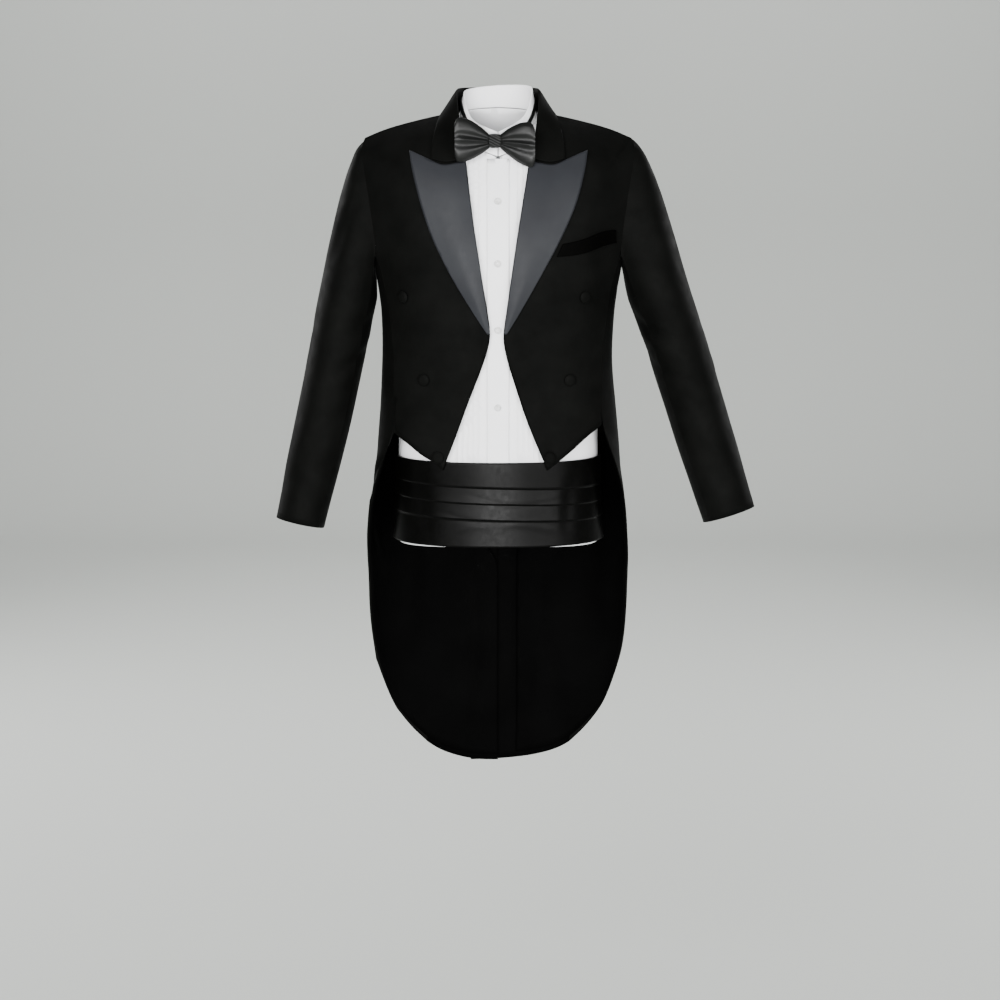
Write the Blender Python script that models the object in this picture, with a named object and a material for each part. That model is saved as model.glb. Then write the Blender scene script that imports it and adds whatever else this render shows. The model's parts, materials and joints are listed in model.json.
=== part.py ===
"""Evening tailcoat worn open over a dress shirt, with a cummerbund and a bow tie, in its worn hollow form.

Metres, +Z up. The front faces -Y and the wearer's left is +X. The origin is the middle of the neck's base.
Each cut piece of cloth is one closed wall. Its outer points come from a worn form (rings of half width and
depth by height) or from a tube about the arm, and its inner points lie one cloth thickness below them.
"""

import math

import bmesh
import bpy
import numpy as np

# Driving sizes
COAT_WALL = 0.002
LINING_WALL = 0.001
SHIRT_WALL = 0.001
SATIN_WALL = 0.0015
SEAM_INSET = 0.0003
LINING_GAP = 0.0010
LINING_EASE = 0.0014
LINING_MARGINS = {"bottom": 0.010, "left": 0.005, "right": 0.0006, "top": 0.001}
LAPEL_GAP = 0.0010
LAPEL_ROLL = 0.0030
COLLAR_CROWN = 0.0035
COLLAR_ROLL = 0.0070
COLLAR_INSET = 0.0006
COLLAR_CROWN_RISE = 0.0022
COLLAR_SHOULDER_DROP = 0.0010
COLLAR_BELLY = 0.0025
COLLAR_NOTCH = (0.0, -0.0030, -0.0085)
COLLAR_BELLY_SHARE = 0.55
TAIL_FOLD = 0.004
HEM_BOTTOM = -1.107
BACK_WAIST = -0.60
VENT_GROWTH = 0.06
VENT_SPRING = 0.12
VENT_EDGE_TURN = 170.0
VENT_EDGE_WIDTH = 8.0
SHOULDER_TIP = -0.042
SHOULDER_REACH = 0.2125
SHOULDER_NECK = -0.002
COAT_BUTTON_RADIUS = 0.010
COAT_BUTTON_THICKNESS = 0.0045
COAT_BUTTON_LIFT = 0.0004
SHIRT_BUTTON_RADIUS = 0.0055
SHIRT_BUTTON_THICKNESS = 0.0022
SHIRT_BUTTON_LIFT = 0.0030
SHIRT_BUTTON_REACH = 0.0005
ARMHOLE_GAP = 0.0006
ARMHOLE_LIFT = 0.0002
FOREARM_COLUMN = 7
ELBOW_COLUMN = 13
SHIRT_SLEEVE_SHRINK = 0.008
SHIRT_SLEEVE_PULLS = (0.050, 0.066)
SHIRT_SLEEVE_UNDERARM = (0.90, -0.42)
SHIRT_SHOULDER_TIP = -0.0455
SHIRT_SHOULDER_GAP = 0.0045
SHIRT_NECK_LOW = -0.070
SHIRT_WAIST = -0.40
SHIRT_COLLAR_WALL = 0.0016
SHIRT_COLLAR_TILT = 0.060
PLACKET_HALF_WIDTH = 0.0175
PLACKET_ENDS = (-0.566, -0.074)
PLACKET_COLUMNS = (-1.0, -0.35, 0.35, 1.0)
PLACKET_GAP = 0.0010
PLACKET_WALL = 0.0012
WELT_GAP = 0.0008
WELT_WALL = 0.0016
BAND_EDGE_INSET = 0.0006
BAND_SLANT = 0.0055
CUMMERBUND_TURN = 84.0
STRAP_TURN = 84.4
STRAP_ENDS = (-0.655, -0.605)
STRAP_GAP = 0.0012
BAND_GAP = 0.0006
BAND_WALL = 0.0012
BAND_SHARES = (0.30, 0.62)

# Where a form's outward direction is measured: degrees round and metres up
FORM_STEP = 0.6
FORM_RISE = 0.0006
DEGREE_SPAN = 0.0035

# Standing folds in the tail: where they start, how far they take to grow, turns per degree and share
TAIL_FOLD_START = -0.62
TAIL_FOLD_GROWTH = 0.48
TAIL_WAVES = (
    (6.5, -40.0, 1.0),
    (11.0, 0.0, 0.4),
)

# How a sleeve leaves its armhole: top and underarm directions, and how hard it settles into its line
SLEEVE_UNDERARM = (0.24, -0.87)
SLEEVE_PULLS = {"right": (0.015, 0.072), "left": (0.015, 0.103)}
SLEEVE_TOP_DROP = -0.23
SLEEVE_SPREAD = 0.30
SLEEVE_SETTLE = 0.9

# A domed button's profile: share of its radius, share of its thickness
BUTTON_PROFILE = (
    (0.82, 0.0),
    (1.0, 0.35),
    (0.9, 0.75),
    (0.5, 1.0),
)
BUTTON_SIDES = 12

# Worn form of the coat: height, half width, front depth, back depth
COAT_RINGS = (
    (0.012, 0.046, 0.012, 0.050),
    (-0.002, 0.075, 0.020, 0.060),
    (-0.007, 0.100, 0.027, 0.064),
    (-0.0165, 0.140, 0.038, 0.070),
    (-0.026, 0.175, 0.048, 0.075),
    (-0.037, 0.205, 0.059, 0.080),
    (-0.045, 0.216, 0.066, 0.084),
    (-0.060, 0.222, 0.076, 0.090),
    (-0.080, 0.224, 0.088, 0.097),
    (-0.120, 0.221, 0.104, 0.108),
    (-0.170, 0.215, 0.116, 0.116),
    (-0.220, 0.205, 0.123, 0.117),
    (-0.270, 0.196, 0.125, 0.111),
    (-0.335, 0.190, 0.122, 0.100),
    (-0.403, 0.190, 0.117, 0.093),
    (-0.474, 0.196, 0.113, 0.095),
    (-0.534, 0.201, 0.112, 0.102),
    (-0.600, 0.207, 0.114, 0.112),
    (-0.670, 0.214, 0.118, 0.120),
    (-0.750, 0.224, 0.122, 0.125),
    (-0.850, 0.236, 0.126, 0.128),
    (-1.000, 0.246, 0.130, 0.131),
    (-1.120, 0.250, 0.134, 0.134),
)

# Worn form of the shirt, inside the coat: height, half width, front depth, back depth
SHIRT_RINGS = (
    (0.010, 0.040, 0.010, 0.042),
    (-0.0035, 0.066, 0.020, 0.052),
    (-0.0105, 0.098, 0.025, 0.056),
    (-0.020, 0.138, 0.034, 0.060),
    (-0.0295, 0.172, 0.044, 0.064),
    (-0.0405, 0.198, 0.054, 0.069),
    (-0.060, 0.213, 0.069, 0.078),
    (-0.080, 0.215, 0.081, 0.086),
    (-0.120, 0.212, 0.096, 0.098),
    (-0.170, 0.206, 0.108, 0.108),
    (-0.220, 0.195, 0.114, 0.109),
    (-0.270, 0.184, 0.116, 0.102),
    (-0.335, 0.172, 0.114, 0.091),
    (-0.403, 0.165, 0.110, 0.084),
    (-0.474, 0.163, 0.107, 0.083),
    (-0.534, 0.1625, 0.106, 0.086),
    (-0.600, 0.1635, 0.107, 0.091),
    (-0.700, 0.1675, 0.109, 0.096),
)
SQUARENESS = 2.3
CLIMB_START = -0.200
CLIMB_SCALE = 0.150

# Front edge of each front, from the waist point up to the gorge: height, wearer's right, wearer's left
FRONT_EDGE = (
    (-0.565, 0.0885, 0.0790),
    (-0.513, 0.0680, 0.0565),
    (-0.470, 0.0525, 0.0400),
    (-0.432, 0.0380, 0.0280),
    (-0.387, 0.0205, 0.0135),
    (-0.352, 0.0110, 0.0065),
    (-0.340, 0.0120, 0.0085),
    (-0.259, 0.0250, 0.0200),
    (-0.180, 0.0370, 0.0315),
    (-0.077, 0.0500, 0.0480),
)

# Waist hem of each front, from its point to the side seam: half width, wearer's right, wearer's left
FRONT_HEM = (
    (0.084, -0.5660, -0.5690),
    (0.100, -0.5530, -0.5485),
    (0.120, -0.5440, -0.5330),
    (0.140, -0.5280, -0.5150),
    (0.157, -0.5090, -0.4960),
)

# Seam between front and side body, from the waist hem up to the armhole: height, turn
SIDE_SEAM = (
    (-0.505, 55.0),
    (-0.430, 58.0),
    (-0.330, 63.0),
    (-0.225, 72.0),
)

# Free edge of the tail, from the waist hem down to where it rounds into the hem: height, turn
TAIL_EDGE = (
    (-0.985, 133.9),
    (-0.954, 128.8),
    (-0.912, 122.7),
    (-0.860, 116.9),
    (-0.800, 110.9),
    (-0.750, 106.5),
    (-0.663, 93.0),
    (-0.600, 77.0),
    (-0.545, 65.5),
    (-0.505, 55.0),
)

# Rounded hem of the tail, from the free edge to the side seam, then to the centre: height, turn
TAIL_HEM_SIDE = (
    (-0.985, 133.9),
    (-1.012, 138.9),
    (-1.035, 144.4),
    (-1.054, 149.4),
    (-1.070, 154.0),
)
TAIL_HEM_BACK = (
    (-1.070, 154.0),
    (-1.0825, 158.5),
    (-1.0920, 163.1),
    (-1.0990, 167.3),
    (-1.1035, 171.0),
    (HEM_BOTTOM, 176.3),
    (HEM_BOTTOM, 180.0),
)
VENT_TOP = -0.640
VENT_LAP = 8.5
VENT_LIFT = 0.0030

# Seam between side body and back, from the hem up to the armhole: height, turn
BACK_SEAM = (
    (-1.070, 154.0),
    (-0.900, 150.0),
    (-0.700, 146.0),
    (-0.500, 140.0),
    (-0.350, 130.0),
    (-0.215, 113.0),
)

# Neck edge of the coat's front and back, up to the shoulder seam: half width, height
COAT_NECK_FRONT = (
    (0.0490, -0.0770),
    (0.0590, -0.0500),
    (0.0680, -0.0220),
    (0.0725, -0.0080),
    (0.0750, SHOULDER_NECK),
)
COAT_NECK_BACK = (
    (0.0750, SHOULDER_NECK),
    (0.0680, 0.0003),
    (0.0560, 0.0030),
    (0.0380, 0.0062),
    (0.0000, 0.0085),
)
SHIRT_NECK_FRONT = (
    (0.0005, -0.0700),
    (0.0270, -0.0600),
    (0.0500, -0.0330),
    (0.0620, -0.0110),
    (0.0660, -0.0035),
)
SHIRT_NECK_BACK = (
    (0.0660, -0.0035),
    (0.0605, -0.0015),
    (0.0500, 0.0008),
    (0.0340, 0.0032),
    (0.0000, 0.0050),
)

# Armhole, from the side seam over the shoulder tip's front: height, turn
ARMHOLE_FRONT = (
    (-0.225, 72.0),
    (-0.200, 69.0),
    (-0.160, 67.5),
    (-0.120, 68.5),
    (-0.085, 72.0),
    (-0.060, 78.0),
    (SHOULDER_TIP, 90.0),
)
ARMHOLE_BACK = (
    (-0.215, 113.0),
    (-0.180, 115.0),
    (-0.140, 114.5),
    (-0.100, 111.0),
    (-0.070, 105.0),
    (SHOULDER_TIP, 90.0),
)
ARMHOLE_UNDER = (
    (-0.225, 72.0),
    (-0.243, 81.0),
    (-0.248, 91.0),
    (-0.240, 102.0),
    (-0.215, 113.0),
)

# Shirt armhole, a little inside the coat's
SHIRT_ARMHOLE_BOTTOM = -0.214
SHIRT_ARMHOLE_FRONT = (
    (SHIRT_ARMHOLE_BOTTOM, 91.0),
    (-0.201, 79.0),
    (-0.160, 70.0),
    (-0.100, 72.0),
    (-0.065, 79.0),
    (-0.0455, 90.0),
)
SHIRT_ARMHOLE_BACK = (
    (SHIRT_ARMHOLE_BOTTOM, 91.0),
    (-0.198, 101.0),
    (-0.160, 106.0),
    (-0.100, 104.5),
    (-0.065, 98.0),
    (-0.0455, 90.0),
)

# Shirt hem from the centre front to the side seam: turn, height
SHIRT_HEM = (
    (0.4, -0.6835),
    (15.0, -0.6880),
    (30.0, -0.6905),
    (45.0, -0.6915),
    (62.0, -0.6930),
    (76.0, -0.6915),
    (91.0, -0.6885),
)

# Sleeves below the armhole: height, axis reach, forward reach, width, depth
SLEEVE_RIGHT = (
    (-0.295, 0.2420, 0.002, 0.096, 0.142),
    (-0.370, 0.2580, -0.003, 0.093, 0.134),
    (-0.440, 0.2715, -0.008, 0.092, 0.127),
    (-0.510, 0.2865, -0.014, 0.090, 0.119),
    (-0.575, 0.3025, -0.020, 0.086, 0.110),
    (-0.662, 0.3225, -0.029, 0.080, 0.100),
)
SLEEVE_LEFT = (
    (-0.290, 0.2590, 0.002, 0.101, 0.142),
    (-0.360, 0.2855, -0.003, 0.099, 0.134),
    (-0.430, 0.3060, -0.008, 0.098, 0.127),
    (-0.505, 0.3290, -0.014, 0.094, 0.119),
    (-0.570, 0.3500, -0.020, 0.092, 0.110),
    (-0.6485, 0.3755, -0.029, 0.088, 0.100),
)

# Lapel of each front, from its lowest point up to the peak: height, wearer's right, wearer's left
LAPEL_OUTER = (
    (-0.345, 0.0170, 0.0135),
    (-0.300, 0.0460, 0.0405),
    (-0.250, 0.0760, 0.0690),
    (-0.190, 0.1050, 0.1010),
    (-0.130, 0.1250, 0.1265),
    (-0.0605, 0.1395, 0.1405),
)
LAPEL_INNER = (
    (-0.345, 0.0125, 0.0090),
    (-0.259, 0.0255, 0.0205),
    (-0.180, 0.0375, 0.0320),
    (-0.0775, 0.0510, 0.0490),
)

# Top edge of the lapel, from the roll line to the peak: half width, height
LAPEL_TOP = (
    (0.0505, -0.0775),
    (0.0680, -0.0800),
    (0.0870, -0.0850),
    (0.1050, -0.0755),
    (0.1400, -0.0600),
)

# Collar stations from the gorge to the centre back: x, y and z of the fold, the leaf's edge and the foot
COLLAR = (
    (0.0500, -0.0900, -0.0710, 0.1055, -0.0810, -0.0714, 0.0475, -0.0850, -0.0715),
    (0.0535, -0.0800, -0.0560, 0.1054, -0.0747, -0.0603, 0.0530, -0.0740, -0.0560),
    (0.0575, -0.0610, -0.0290, 0.1033, -0.0630, -0.0419, 0.0620, -0.0480, -0.0300),
    (0.0615, -0.0370, 0.0060, 0.0979, -0.0410, -0.0195, 0.0670, -0.0280, -0.0125),
    (0.0635, -0.0060, 0.0315, 0.0915, -0.0080, -0.0015, 0.0700, -0.0040, -0.0003),
    (0.0600, 0.0240, 0.0345, 0.0860, 0.0330, -0.0005, 0.0655, 0.0190, 0.0030),
    (0.0430, 0.0470, 0.0350, 0.0600, 0.0610, -0.0045, 0.0450, 0.0385, 0.0065),
    (0.0220, 0.0575, 0.0355, 0.0300, 0.0720, -0.0080, 0.0240, 0.0470, 0.0090),
    (0.0000, 0.0605, 0.0355, 0.0000, 0.0750, -0.0090, 0.0000, 0.0505, 0.0105),
)

# Shirt collar from centre front to centre back: x, y and z of the top, then of the foot
SHIRT_COLLAR = (
    (0.0008, -0.0660, -0.0310, 0.0008, -0.0770, -0.0688),
    (0.0230, -0.0600, -0.0210, 0.0270, -0.0712, -0.0592),
    (0.0430, -0.0430, -0.0080, 0.0495, -0.0490, -0.0320),
    (0.0525, -0.0190, 0.0180, 0.0605, -0.0235, -0.0102),
    (0.0555, 0.0060, 0.0340, 0.0615, 0.0080, -0.0010),
    (0.0470, 0.0290, 0.0380, 0.0500, 0.0280, 0.0015),
    (0.0270, 0.0420, 0.0400, 0.0300, 0.0400, 0.0042),
    (0.0000, 0.0470, 0.0410, 0.0000, 0.0455, 0.0058),
)

# Covered coat buttons: height, wearer's right, wearer's left
COAT_BUTTONS = (
    ("upper", -0.289, 0.1510, 0.1380),
    ("middle", -0.4205, 0.1190, 0.1150),
    ("lower", -0.544, 0.0960, 0.0825),
)
SHIRT_BUTTONS = (-0.139, -0.235, -0.339, -0.463)

# Breast welt, from the lapel to the arm: lower half width, lower height, upper half width, upper height
WELT = (
    (0.0920, -0.2240, 0.1010, -0.2045),
    (0.1150, -0.2230, 0.1190, -0.2015),
    (0.1400, -0.2190, 0.1415, -0.1960),
    (0.1650, -0.2090, 0.1650, -0.1860),
    (0.1870, -0.2050, 0.1860, -0.1850),
)

# Cummerbund bands from the bottom up: lower height, upper height, and how far the low, middle and high lines stand out
CUMMERBUND_BANDS = (
    (-0.689, -0.645, 1.0, 0.4, 0.0),
    (-0.645, -0.619, 1.0, 0.4, 0.0),
    (-0.619, -0.593, 1.0, 0.4, 0.0),
    (-0.593, -0.551, 1.0, 1.0, 1.0),
)
CUMMERBUND_STEP = 0.0018
CUMMERBUND_CLEARANCE = 0.0032

# Bow tie wing, from the knot to its free end: reach, upper height, lower height, puff
BOW_WING = (
    (0.0000, 0.0090, -0.0105, 0.0035),
    (0.0055, 0.0150, -0.0160, 0.0055),
    (0.0120, 0.0215, -0.0225, 0.0072),
    (0.0260, 0.0300, -0.0315, 0.0085),
    (0.0400, 0.0335, -0.0365, 0.0072),
    (0.0475, 0.0320, -0.0365, 0.0055),
    (0.0520, 0.0230, -0.0280, 0.0040),
)
BOW_TILT = 0.090

# Troughs that run out of the knot: share of the wing's height, width share, depth share
BOW_TROUGHS = (
    (0.385, 0.075, 0.60),
    (0.610, 0.075, 0.60),
)
BOW_ACROSS = 15
BOW_CENTRE = (-0.005, -0.0835, -0.0450)
BOW_EDGE = 0.0010
BOW_BACK_SHARE = 0.35
KNOT_GAP = 0.0004
KNOT_ROUND = (1.15, 0.55)
KNOT_HALF = (0.0105, 0.0075, 0.0115)
BOW_LEAN = 0.25

COLOURS = {
    "coat": (0.012, 0.012, 0.013, 0.75, 0.0),
    "satin": (0.045, 0.048, 0.056, 0.35, 0.0),
    "lining": (0.010, 0.010, 0.011, 0.40, 0.0),
    "shirt": (0.86, 0.86, 0.88, 0.70, 0.0),
    "black_satin": (0.010, 0.011, 0.011, 0.32, 0.0),
    "button": (0.020, 0.020, 0.022, 0.45, 0.0),
    "pearl": (0.80, 0.80, 0.78, 0.30, 0.0),
}


def clear_scene():
    """Empties the startup scene."""
    for item in list(bpy.data.objects):
        bpy.data.objects.remove(item)


def make_material(name):
    """A Principled surface in one of the suit's colours."""
    red, green, blue, roughness, metallic = COLOURS[name]
    material = bpy.data.materials.new(name)
    material.use_nodes = True
    shader = material.node_tree.nodes["Principled BSDF"]
    shader.inputs["Base Color"].default_value = (red, green, blue, 1.0)
    shader.inputs["Roughness"].default_value = roughness
    shader.inputs["Metallic"].default_value = metallic
    return material


def smooth_column(rows, column, at):
    """Reads a table's column between its rows along a curve that never overshoots them."""
    keys = [row[0] for row in rows]
    values = [row[column] for row in rows]
    if keys[0] > keys[-1]:
        keys.reverse()
        values.reverse()
    at = min(max(at, keys[0]), keys[-1])
    slopes = [(values[i + 1] - values[i]) / (keys[i + 1] - keys[i]) for i in range(len(keys) - 1)]
    tangents = [slopes[0]]
    for before, after in zip(slopes, slopes[1:]):
        same_way = before * after > 0
        tangents.append(2 * before * after / (before + after) if same_way else 0.0)
    tangents.append(slopes[-1])
    i = next(k for k in range(len(slopes)) if at <= keys[k + 1])
    span = keys[i + 1] - keys[i]
    t = (at - keys[i]) / span
    start = values[i] * (1 + 2 * t) * (1 - t) ** 2 + tangents[i] * span * t * (1 - t) ** 2
    end = values[i + 1] * t * t * (3 - 2 * t) + tangents[i + 1] * span * t * t * (t - 1)
    return start + end


class WornForm:
    """A worn body form: a point for each turn from the centre front, in degrees, and each height."""

    def __init__(self, rings, tail_fold=0.0):
        self.rings = rings
        self.tail_fold = tail_fold

    def point(self, turn, height):
        """Point of the form at this turn and height."""
        half = smooth_column(self.rings, 1, height)
        front = smooth_column(self.rings, 2, height)
        back = smooth_column(self.rings, 3, height)
        angle = math.radians(turn)
        across = math.sin(angle)
        along = math.cos(angle)
        power = 2 / SQUARENESS
        depth = front if along > 0 else back
        x = half * math.copysign(abs(across) ** power, across)
        y = -depth * math.copysign(abs(along) ** power, along)
        return np.array((x, y + self.fold(turn, height), height))

    def fold(self, turn, height):
        """Soft standing folds that grow down the tail, as a distance backwards."""
        drop = min(max((TAIL_FOLD_START - height) / TAIL_FOLD_GROWTH, 0.0), 1.0)
        behind = abs(((turn + 180) % 360) - 180)
        wave = sum(share * math.sin(math.radians(rate * behind + shift)) for rate, shift, share in TAIL_WAVES)
        return self.tail_fold * drop * wave

    def normal(self, turn, height):
        """Outward direction of the form."""
        around = self.point(turn + FORM_STEP, height) - self.point(turn - FORM_STEP, height)
        up = self.point(turn, height + FORM_RISE) - self.point(turn, height - FORM_RISE)
        facing = np.cross(around, up)
        return facing / np.linalg.norm(facing)

    def turn_at(self, reach, height):
        """Turn of the front point at this distance from the middle."""
        half = smooth_column(self.rings, 1, height)
        return math.degrees(math.asin(min(reach / half, 1.0) ** (SQUARENESS / 2)))

    def bearing(self, turn, height):
        """True direction of a point from the neck's axis, in degrees from the front."""
        power = 2 / SQUARENESS
        front = smooth_column(self.rings, 2, height)
        back = smooth_column(self.rings, 3, height)
        across = smooth_column(self.rings, 1, height) * abs(math.sin(math.radians(turn))) ** power
        along = math.cos(math.radians(turn))
        depth = (front if along > 0 else back) * math.copysign(abs(along) ** power, along)
        return math.copysign(math.degrees(math.atan2(across, depth)), math.sin(math.radians(turn)))

    def turn_of(self, bearing, height):
        """Turn of the point in this true direction."""
        half = smooth_column(self.rings, 1, height)
        depth = smooth_column(self.rings, 2 if abs(bearing) < 90 else 3, height)
        angle = math.radians(abs(bearing))
        across = (abs(math.sin(angle)) / half) ** (SQUARENESS / 2)
        along = (abs(math.cos(angle)) / depth) ** (SQUARENESS / 2)
        turn = math.degrees(math.atan2(across, math.copysign(along, math.cos(angle))))
        return math.copysign(turn, bearing)

    def climb(self, bearing, height):
        """How far up the form a point lies: by height on the trunk, by slope over the shoulder."""
        if height <= CLIMB_START:
            return (height - CLIMB_START) / CLIMB_SCALE
        x, y, _ = self.point(self.turn_of(bearing, height), height)
        return math.atan2(height - CLIMB_START, math.hypot(x, y))

    def height_of(self, bearing, climb):
        """Height of the point this far up the form, in this true direction."""
        if climb <= 0:
            return CLIMB_START + climb * CLIMB_SCALE
        low = CLIMB_START
        high = self.rings[0][0]
        for _ in range(40):
            middle = 0.5 * (low + high)
            if self.climb(bearing, middle) < climb:
                low = middle
            else:
                high = middle
        return 0.5 * (low + high)

    def spread(self, rows):
        """(height, turn) rows as (climb, bearing) rows."""
        result = []
        for height, turn in rows:
            lap = max(turn - 180.0, 0.0)
            bearing = self.bearing(min(turn, 180.0), height)
            result.append((self.climb(bearing, height), bearing + lap))
        return np.array(result)

    def gathered(self, grid):
        """A (climb, bearing) grid as a (height, turn) grid."""
        result = np.zeros_like(grid)
        for i, row in enumerate(grid):
            for j, (climb, bearing) in enumerate(row):
                lap = max(bearing - 180.0, 0.0)
                height = self.height_of(min(bearing, 180.0), climb)
                result[i, j] = (height, self.turn_of(min(bearing, 180.0), height) + lap)
        return result

    def panel(self, left, right, bottom, top):
        """The (height, turn) grid of a panel with these four edges."""
        return self.gathered(coons(*(self.spread(edge) for edge in (left, right, bottom, top))))


def resampled(rows, count):
    """Evenly spaced points along a (height, turn) or like table, as an array of count + 1 rows."""
    rows = np.array(rows, float)
    scale = np.array((1.0, DEGREE_SPAN))
    steps = np.linalg.norm(np.diff(rows * scale, axis=0), axis=1)
    travelled = np.concatenate(([0.0], np.cumsum(steps)))
    wanted = np.linspace(0.0, travelled[-1], count + 1)
    table = [(d, *row) for d, row in zip(travelled, rows)]
    return np.array([[smooth_column(table, 1, d), smooth_column(table, 2, d)] for d in wanted])


def coons(left, right, bottom, top):
    """Fills the area between four edges: rows run from bottom to top, columns from left to right."""
    rows = len(left)
    columns = len(bottom)
    grid = np.zeros((rows, columns, 2))
    for i in range(rows):
        v = i / (rows - 1)
        for j in range(columns):
            u = j / (columns - 1)
            across = (1 - u) * left[i] + u * right[i]
            along = (1 - v) * bottom[j] + v * top[j]
            corners = (1 - v) * ((1 - u) * left[0] + u * right[0]) + v * ((1 - u) * left[-1] + u * right[-1])
            grid[i, j] = across + along - corners
    return grid


def placed(form, grid, offset=0.0):
    """Points and outward directions of a (height, turn) grid on a form."""
    points = np.zeros(grid.shape[:2] + (3,))
    normals = np.zeros_like(points)
    for i, row in enumerate(grid):
        for j, (height, turn) in enumerate(row):
            normals[i, j] = form.normal(turn, height)
            points[i, j] = form.point(turn, height)
    return points + offset * normals, normals


def drawn_in(points, bottom=SEAM_INSET, top=SEAM_INSET, left=SEAM_INSET, right=SEAM_INSET):
    """Moves a grid's edges inwards along its own lines by these widths."""
    result = points.copy()
    for edge, inner, width in ((0, 1, bottom), (-1, -2, top)):
        step = points[inner] - points[edge]
        result[edge] += width * step / np.linalg.norm(step, axis=1)[:, None]
    for edge, inner, width in ((0, 1, left), (-1, -2, right)):
        step = points[:, inner] - points[:, edge]
        result[:, edge] += width * step / np.linalg.norm(step, axis=1)[:, None]
    return result


def mirrored(points):
    """The same grid on the other side of the body, with its faces still outwards."""
    return points[:, ::-1] * np.array((-1.0, 1.0, 1.0))


def add_object(name, vertices, faces, material):
    """A new object of these points and faces, outward and smooth."""
    mesh = bpy.data.meshes.new(name)
    shape = bmesh.new()
    made = [shape.verts.new(vertex) for vertex in vertices]
    for face in faces:
        shape.faces.new([made[k] for k in face])
    bmesh.ops.recalc_face_normals(shape, faces=shape.faces)
    shape.to_mesh(mesh)
    shape.free()
    mesh.shade_smooth()
    mesh.set_sharp_from_angle(angle=math.radians(50))
    mesh.materials.append(material)
    item = bpy.data.objects.new(name, mesh)
    bpy.context.scene.collection.objects.link(item)
    return item


def add_wall(name, outer, inner, material, closed=False):
    """A cloth wall between two grids of points. closed joins the last column to the first."""
    rows, columns = outer.shape[:2]
    vertices = np.concatenate((outer.reshape(-1, 3), inner.reshape(-1, 3)))
    half = rows * columns
    across = columns if closed else columns - 1
    faces = []
    for i in range(rows - 1):
        for j in range(across):
            a = i * columns + j
            b = i * columns + (j + 1) % columns
            c = b + columns
            d = a + columns
            faces += [(a, b, c), (a, c, d), (half + c, half + b, half + a), (half + d, half + c, half + a)]
    rim = []
    for j in range(across):
        low = (j, (j + 1) % columns)
        high = tuple(k + (rows - 1) * columns for k in low)
        rim += [low[::-1], high]
    if not closed:
        for i in range(rows - 1):
            rim += [(i * columns, (i + 1) * columns)]
            rim += [((i + 2) * columns - 1, (i + 1) * columns - 1)]
    for a, b in rim:
        faces += [(a, b, half + b), (a, half + b, half + a)]
    return add_object(name, vertices, faces, material)


def front_boundaries(form, side):
    """Edges of a coat front in height and turn; side is 1 for the wearer's right and 2 for the left."""
    edge = [(row[0], form.turn_at(row[side], row[0])) for row in FRONT_EDGE]
    cut = resampled(edge[:6], 7)
    roll = resampled(edge[5:], 11)
    left = np.concatenate((cut, roll[1:]))
    seam = resampled(SIDE_SEAM, 6)
    seam[:, 0] += np.linspace(FRONT_HEM[-1][side] - SIDE_SEAM[0][0], 0.0, len(seam))
    armhole = resampled(ARMHOLE_FRONT, 7)
    shoulder = shoulder_seam()
    right = np.concatenate((seam, armhole[1:], shoulder[1:]))
    hem = [(row[side], form.turn_at(row[0], row[side])) for row in FRONT_HEM]
    hem = [tuple(left[0])] + hem[1:-1] + [tuple(seam[0])]
    bottom = resampled(hem, 7)
    top = neck_edge(form, COAT_NECK_FRONT, 7)
    top[0] = left[-1]
    return left, right, bottom, top


def shoulder_seam():
    """The shoulder seam from the shoulder tip to the neck, evenly spaced along its length."""
    ridge = [(row[1], row[0]) for row in COAT_RINGS[1:7]]
    tip = [row for row in ridge if row[1] > SHOULDER_TIP] + [(SHOULDER_REACH, SHOULDER_TIP)]
    reaches = np.linspace(tip[-1][0], tip[0][0], 6)
    heights = [smooth_column(tip, 1, reach) for reach in reaches]
    heights[0] = SHOULDER_TIP
    heights[-1] = SHOULDER_NECK
    return np.array([(height, 90.0) for height in heights])


def neck_edge(form, rows, count, behind=False):
    """A neck edge in height and turn, evenly spaced along its seen length. It meets the shoulder seam at its side."""
    result = []
    for reach, height in resampled_plain(rows, count):
        turn = form.turn_at(reach, height)
        result.append((height, 180.0 - turn if behind else turn))
    shoulder_end = 0 if behind else -1
    result[shoulder_end] = (result[shoulder_end][0], 90.0)
    return np.array(result)


def resampled_plain(rows, count):
    """Evenly spaced points along a table of two lengths."""
    rows = np.array(rows, float)
    steps = np.linalg.norm(np.diff(rows, axis=0), axis=1)
    travelled = np.concatenate(([0.0], np.cumsum(steps)))
    wanted = np.linspace(0.0, travelled[-1], count + 1)
    table = [(d, *row) for d, row in zip(travelled, rows)]
    return [[smooth_column(table, 1, d), smooth_column(table, 2, d)] for d in wanted]


def side_boundaries(side):
    """Edges of a side body, which runs from the underarm down into the front of the tail."""
    hem_shift = FRONT_HEM[-1][side] - SIDE_SEAM[0][0]
    edge = resampled(TAIL_EDGE, 7)
    edge[-1, 0] += hem_shift
    edge[-2, 0] += 0.5 * hem_shift
    seam = resampled(SIDE_SEAM, 6)
    seam[:, 0] += np.linspace(hem_shift, 0.0, len(seam))
    left = np.concatenate((edge, seam[1:]))
    right = resampled(BACK_SEAM, 13)
    bottom = resampled(TAIL_HEM_SIDE, 4)
    top = resampled(ARMHOLE_UNDER, 4)
    return left, right, bottom, top


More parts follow.
